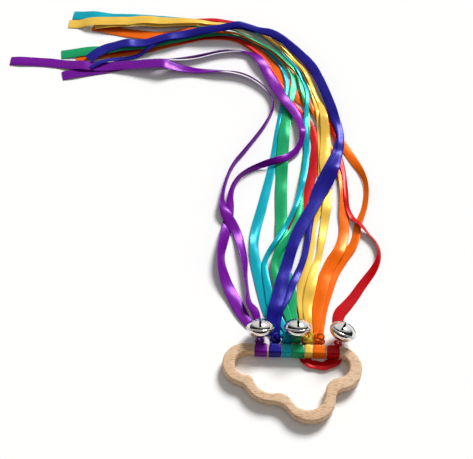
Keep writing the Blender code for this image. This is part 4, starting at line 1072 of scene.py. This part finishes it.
def needed_heights(sections, below):
    """For each stretch between stations, the height its middle line needs at a few places along it."""
    half_thick = RIBBON_SOLID_THICKNESS / 2
    down = Vector((0, 0, -1))
    needed = []
    for (near, near_half, near_normal), (far, far_half, far_normal) in zip(sections, sections[1:]):
        stretch = []
        for k in range(LAY_STEPS + 1):
            t = k / LAY_STEPS
            middle = near.lerp(far, t)
            half = near_half.lerp(far_half, t)
            thick = abs(near_normal.lerp(far_normal, t).z) * half_thick
            most = 0.0
            for m in range(-LAY_STEPS, LAY_STEPS + 1):
                offset = half * (m / LAY_STEPS)
                most = max(most, FLOOR_GAP + thick - offset.z)
                if not below:
                    continue
                above = Vector((middle.x + offset.x, middle.y + offset.y, 1.0))
                hit, normal, _, _ = below.ray_cast(above, down)
                if hit:
                    most = max(most, hit.z + LAY_GAP / max(abs(normal.z), STEEPEST) + thick - offset.z)
            stretch.append(most)
        needed.append(stretch)
    return needed


def lift_to_clear(heights, needed):
    """Raises the two ends of each stretch just enough for every place along it."""
    for i, stretch in enumerate(needed):
        for k, least in enumerate(stretch):
            t = k / LAY_STEPS
            short = least - (1 - t) * heights[i] - t * heights[i + 1]
            if short > 0:
                share = short / ((1 - t) ** 2 + t ** 2)
                heights[i] += share * (1 - t)
                heights[i + 1] += share * t


def lay(needed, start_height):
    """A slack ribbon over its supports: it sags between them and never goes below what is needed."""
    heights = [start_height] + [0.0] * len(needed)
    for _ in range(RELAX_ROUNDS):
        for i in range(1, len(heights) - 1):
            heights[i] = (heights[i - 1] + heights[i + 1]) / 2 - SAG_PER_STATION
        heights[0] = start_height
        heights[-1] = heights[-2] - SAG_PER_STATION
        lift_to_clear(heights, needed)
    for _ in range(LAST_LIFTS):
        lift_to_clear(heights, needed)
    return heights


def strip_mesh(sections, heights):
    """The plain solid that the next tail is laid on."""
    half_thick = RIBBON_SOLID_THICKNESS / 2
    points = []
    for (place, half, normal), height in zip(sections, heights):
        middle = Vector((place.x, place.y, height))
        for side, face in ((-1, -1), (1, -1), (1, 1), (-1, 1)):
            points.append(middle + side * half + face * half_thick * normal)
    faces = [(3, 2, 1, 0), tuple(range(len(points) - 4, len(points)))]
    for row in range(len(sections) - 1):
        near = [row * 4 + i for i in range(4)]
        far = [v + 4 for v in near]
        for i, j in ((0, 1), (1, 2), (3, 0)):
            faces += [(near[i], near[j], far[j]), (near[i], far[j], far[i])]
        faces += [(near[2], near[3], far[2]), (near[3], far[3], far[2])]
    return points, faces


def half_section(shown):
    """From the middle of the ribbon out to its edge: across, up and the distance along the cloth."""
    flat = shown / 2 - FOLD_RADIUS
    whole = min(RIBBON_WIDTH, shown * (1 + 2 * MOST_FOLDED_UNDER)) / 2
    fold_end = min(whole - FOLD_RADIUS / 8, flat + math.pi * FOLD_RADIUS)
    steps = [flat * i / FLAT_POINTS for i in range(FLAT_POINTS + 1)]
    steps += [flat + (fold_end - flat) * (i + 1) / FOLD_POINTS for i in range(FOLD_POINTS)]
    steps += [fold_end + (whole - fold_end) * (i + 1) / FLAP_POINTS for i in range(FLAP_POINTS)]
    points = []
    for along in steps:
        if along <= flat:
            across, up = along, 0.0
        else:
            turn = min(math.pi, (along - flat) / FOLD_RADIUS)
            across = flat + FOLD_RADIUS * math.sin(turn) - max(0.0, along - flat - math.pi * FOLD_RADIUS)
            up = -FOLD_RADIUS * (1 - math.cos(turn))
        up += CAMBER * (1 - (2 * across / shown) ** 2)
        points.append((across, up, along))
    return points


def ribbon_section(shown):
    """The closed outline of a ribbon's section: across, up and the share of its width, upper side first."""
    half = half_section(shown)
    line = [(-a, u, -d) for a, u, d in reversed(half[1:])] + half
    upper, lower = [], []
    for i, (across, up, along) in enumerate(line):
        near, far = line[max(i - 1, 0)], line[min(i + 1, len(line) - 1)]
        ahead = Vector((far[0] - near[0], far[1] - near[1])).normalized()
        out = Vector((-ahead.y, ahead.x)) * RIBBON_THICKNESS / 2
        share = 0.5 + along / RIBBON_WIDTH
        upper.append((across + out.x, up + out.y, share))
        lower.append((across - out.x, up - out.y, share))
    return upper + lower[::-1]


def ribbon_mesh(stations, heights, seed, first=None, last=None):
    """A ribbon with its edges folded under where it shows less than its width, and the line that it follows."""
    levels = [Vector((h, 0.0)) for h in heights]
    fine, line_heights = [], []
    for i in range(len(stations) - 1):
        for k in range(FINE_STEPS):
            fine.append(between(stations, i, k / FINE_STEPS))
            line_heights.append(between(levels, i, k / FINE_STEPS).x)
    fine.append(stations[-1])
    line_heights.append(heights[-1])
    points, places, line = [], [], []
    along = 0.0
    for (place, half, normal), height in zip(sections_of(fine, first, last), line_heights):
        middle = Vector((place.x, place.y, height))
        if line:
            along += (middle - line[-1]).length
        line.append(middle)
        left = half.normalized()
        outline = ribbon_section(2 * half.length)
        for across, up, share in outline:
            spot = Vector((along / RIPPLE_LENGTH, across / half.length * RIPPLES_ACROSS, seed))
            ripple = RIPPLE * noise.noise(spot)
            points.append(middle - left * across + normal * (up + ripple))
            places.append((share, along))
    count = len(outline)
    faces = rows_to_faces(len(line), count)
    for k in range(count // 2 - 1):
        opposite = count - 1 - k
        faces.append((k, k + 1, opposite - 1, opposite))
        top = len(points) - count
        faces.append((top + opposite, top + opposite - 1, top + k + 1, top + k))
    return points, turned_over(faces), places, line, along


def make_tails(places, surfaces):
    laid_points, laid_faces = [], []
    below = None
    for name, route in TAILS.items():
        start = tail_start(name, places)
        points = [Vector((start.x, start.y + back, 0.0, TAIL_GATHERED_WIDTH)) for back in (0.0, TAIL_LEAD)]
        for x, y, tilt, width in route:
            shown = width / MM_PER_METRE
            points.append(Vector((x / MM_PER_METRE, y / MM_PER_METRE, math.radians(tilt), shown)))
        stations = smooth_route(points, FIRST_PITCH, STATION_PITCH)
        straight_back = Vector((0, 1))
        sections = sections_of(stations, straight_back)
        heights = lay(needed_heights(sections, below), start.z)
        strip_points, strip_faces = strip_mesh(sections, heights)
        before = len(laid_points)
        laid_points += strip_points
        laid_faces += [tuple(before + v for v in face) for face in strip_faces]
        below = BVHTree.FromPolygons(laid_points, laid_faces)
        colour, side = name.split("_")
        seed = TAIL_SEED_STEP * list(TAILS).index(name)
        points, faces, uv, line, length = ribbon_mesh(stations, heights, seed, straight_back)
        made = piece(f"{colour}_satin_tail_{side}", points, faces, surfaces[colour], "ribbons",
                     [f"{colour}_ribbon_tail_{side}"], uv)


def make_slack_turn(places, surface):
    """The loose turn of the red ribbon inside the ring, from its own wrap to where it goes under the bar."""
    start_x, end_x = places["red"][0] + SLACK_START_SIDE, slack_end(places)
    front = -(BAR_WIDTH / 2 + WRAP_BUILD + SEAT_GAP)
    span = start_x - end_x
    route = []
    for t in [i / SLACK_POINTS for i in range(SLACK_POINTS + 1)]:
        narrowed = max(0.0, 1 - SLACK_NARROWING * t)
        width = SLACK_SHOWN_WIDTH + (SLACK_START_WIDTH - SLACK_SHOWN_WIDTH) * narrowed
        bulge = SLACK_BULGE * math.sin(math.pi * t) ** SLACK_ROUNDNESS
        bulge += SLACK_CRUMPLE * math.sin(math.pi * t) * math.cos(2 * math.pi * SLACK_CRUMPLES * t)
        route.append(Vector((start_x - span * t, front - bulge, SLACK_TILT, width)))
    stations = smooth_route(route, FIRST_PITCH, FIRST_PITCH)
    first, last = Vector((0, -1)), Vector((0, 1))
    heights = lay(needed_heights(sections_of(stations, first, last), None), FLOOR_GAP)
    points, faces, uv, _, length = ribbon_mesh(stations, heights, SLACK_SEED, first, last)
    made = piece("red_satin_slack_turn", points, faces, surface, "ring",
                 ["red_ribbon_slack_turn"], uv)


def main():
    place_camera()
    light_scene()
    lay_floor()
    places = wrap_places()
    surfaces = {colour: satin(colour + "_satin", SATIN_COLOURS[colour], SATIN_GLOSS) for colour in COLOURS}
    # The knots' satins are glossier, and made paler as painted light
    crumpled = {}
    for colour in COLOURS:
        paler = [min(1.0, KNOT_PAINTED_LIGHT * value) for value in SATIN_COLOURS[colour]]
        crumpled[colour] = satin(colour + "_painted_paler_satin", paler, CRUMPLED_GLOSS)
    make_tails(places, surfaces)
    make_slack_turn(places, surfaces["red"])
    make_ring()
    metal, inside = nickel(), painted_shade_inside()
    for colour, (middle, width) in places.items():
        make_wrap(colour, middle, width, surfaces[colour])
        if colour in BELL_ON:
            make_bell_knot(colour, middle, crumpled[colour])
            make_bell(BELL_ON[colour], tie_place(colour, middle), metal, inside)
        else:
            make_plain_knot(colour, middle, crumpled[colour])
            make_knot_strand(colour, middle, crumpled[colour])
            make_curls(colour, middle, crumpled[colour])


main()
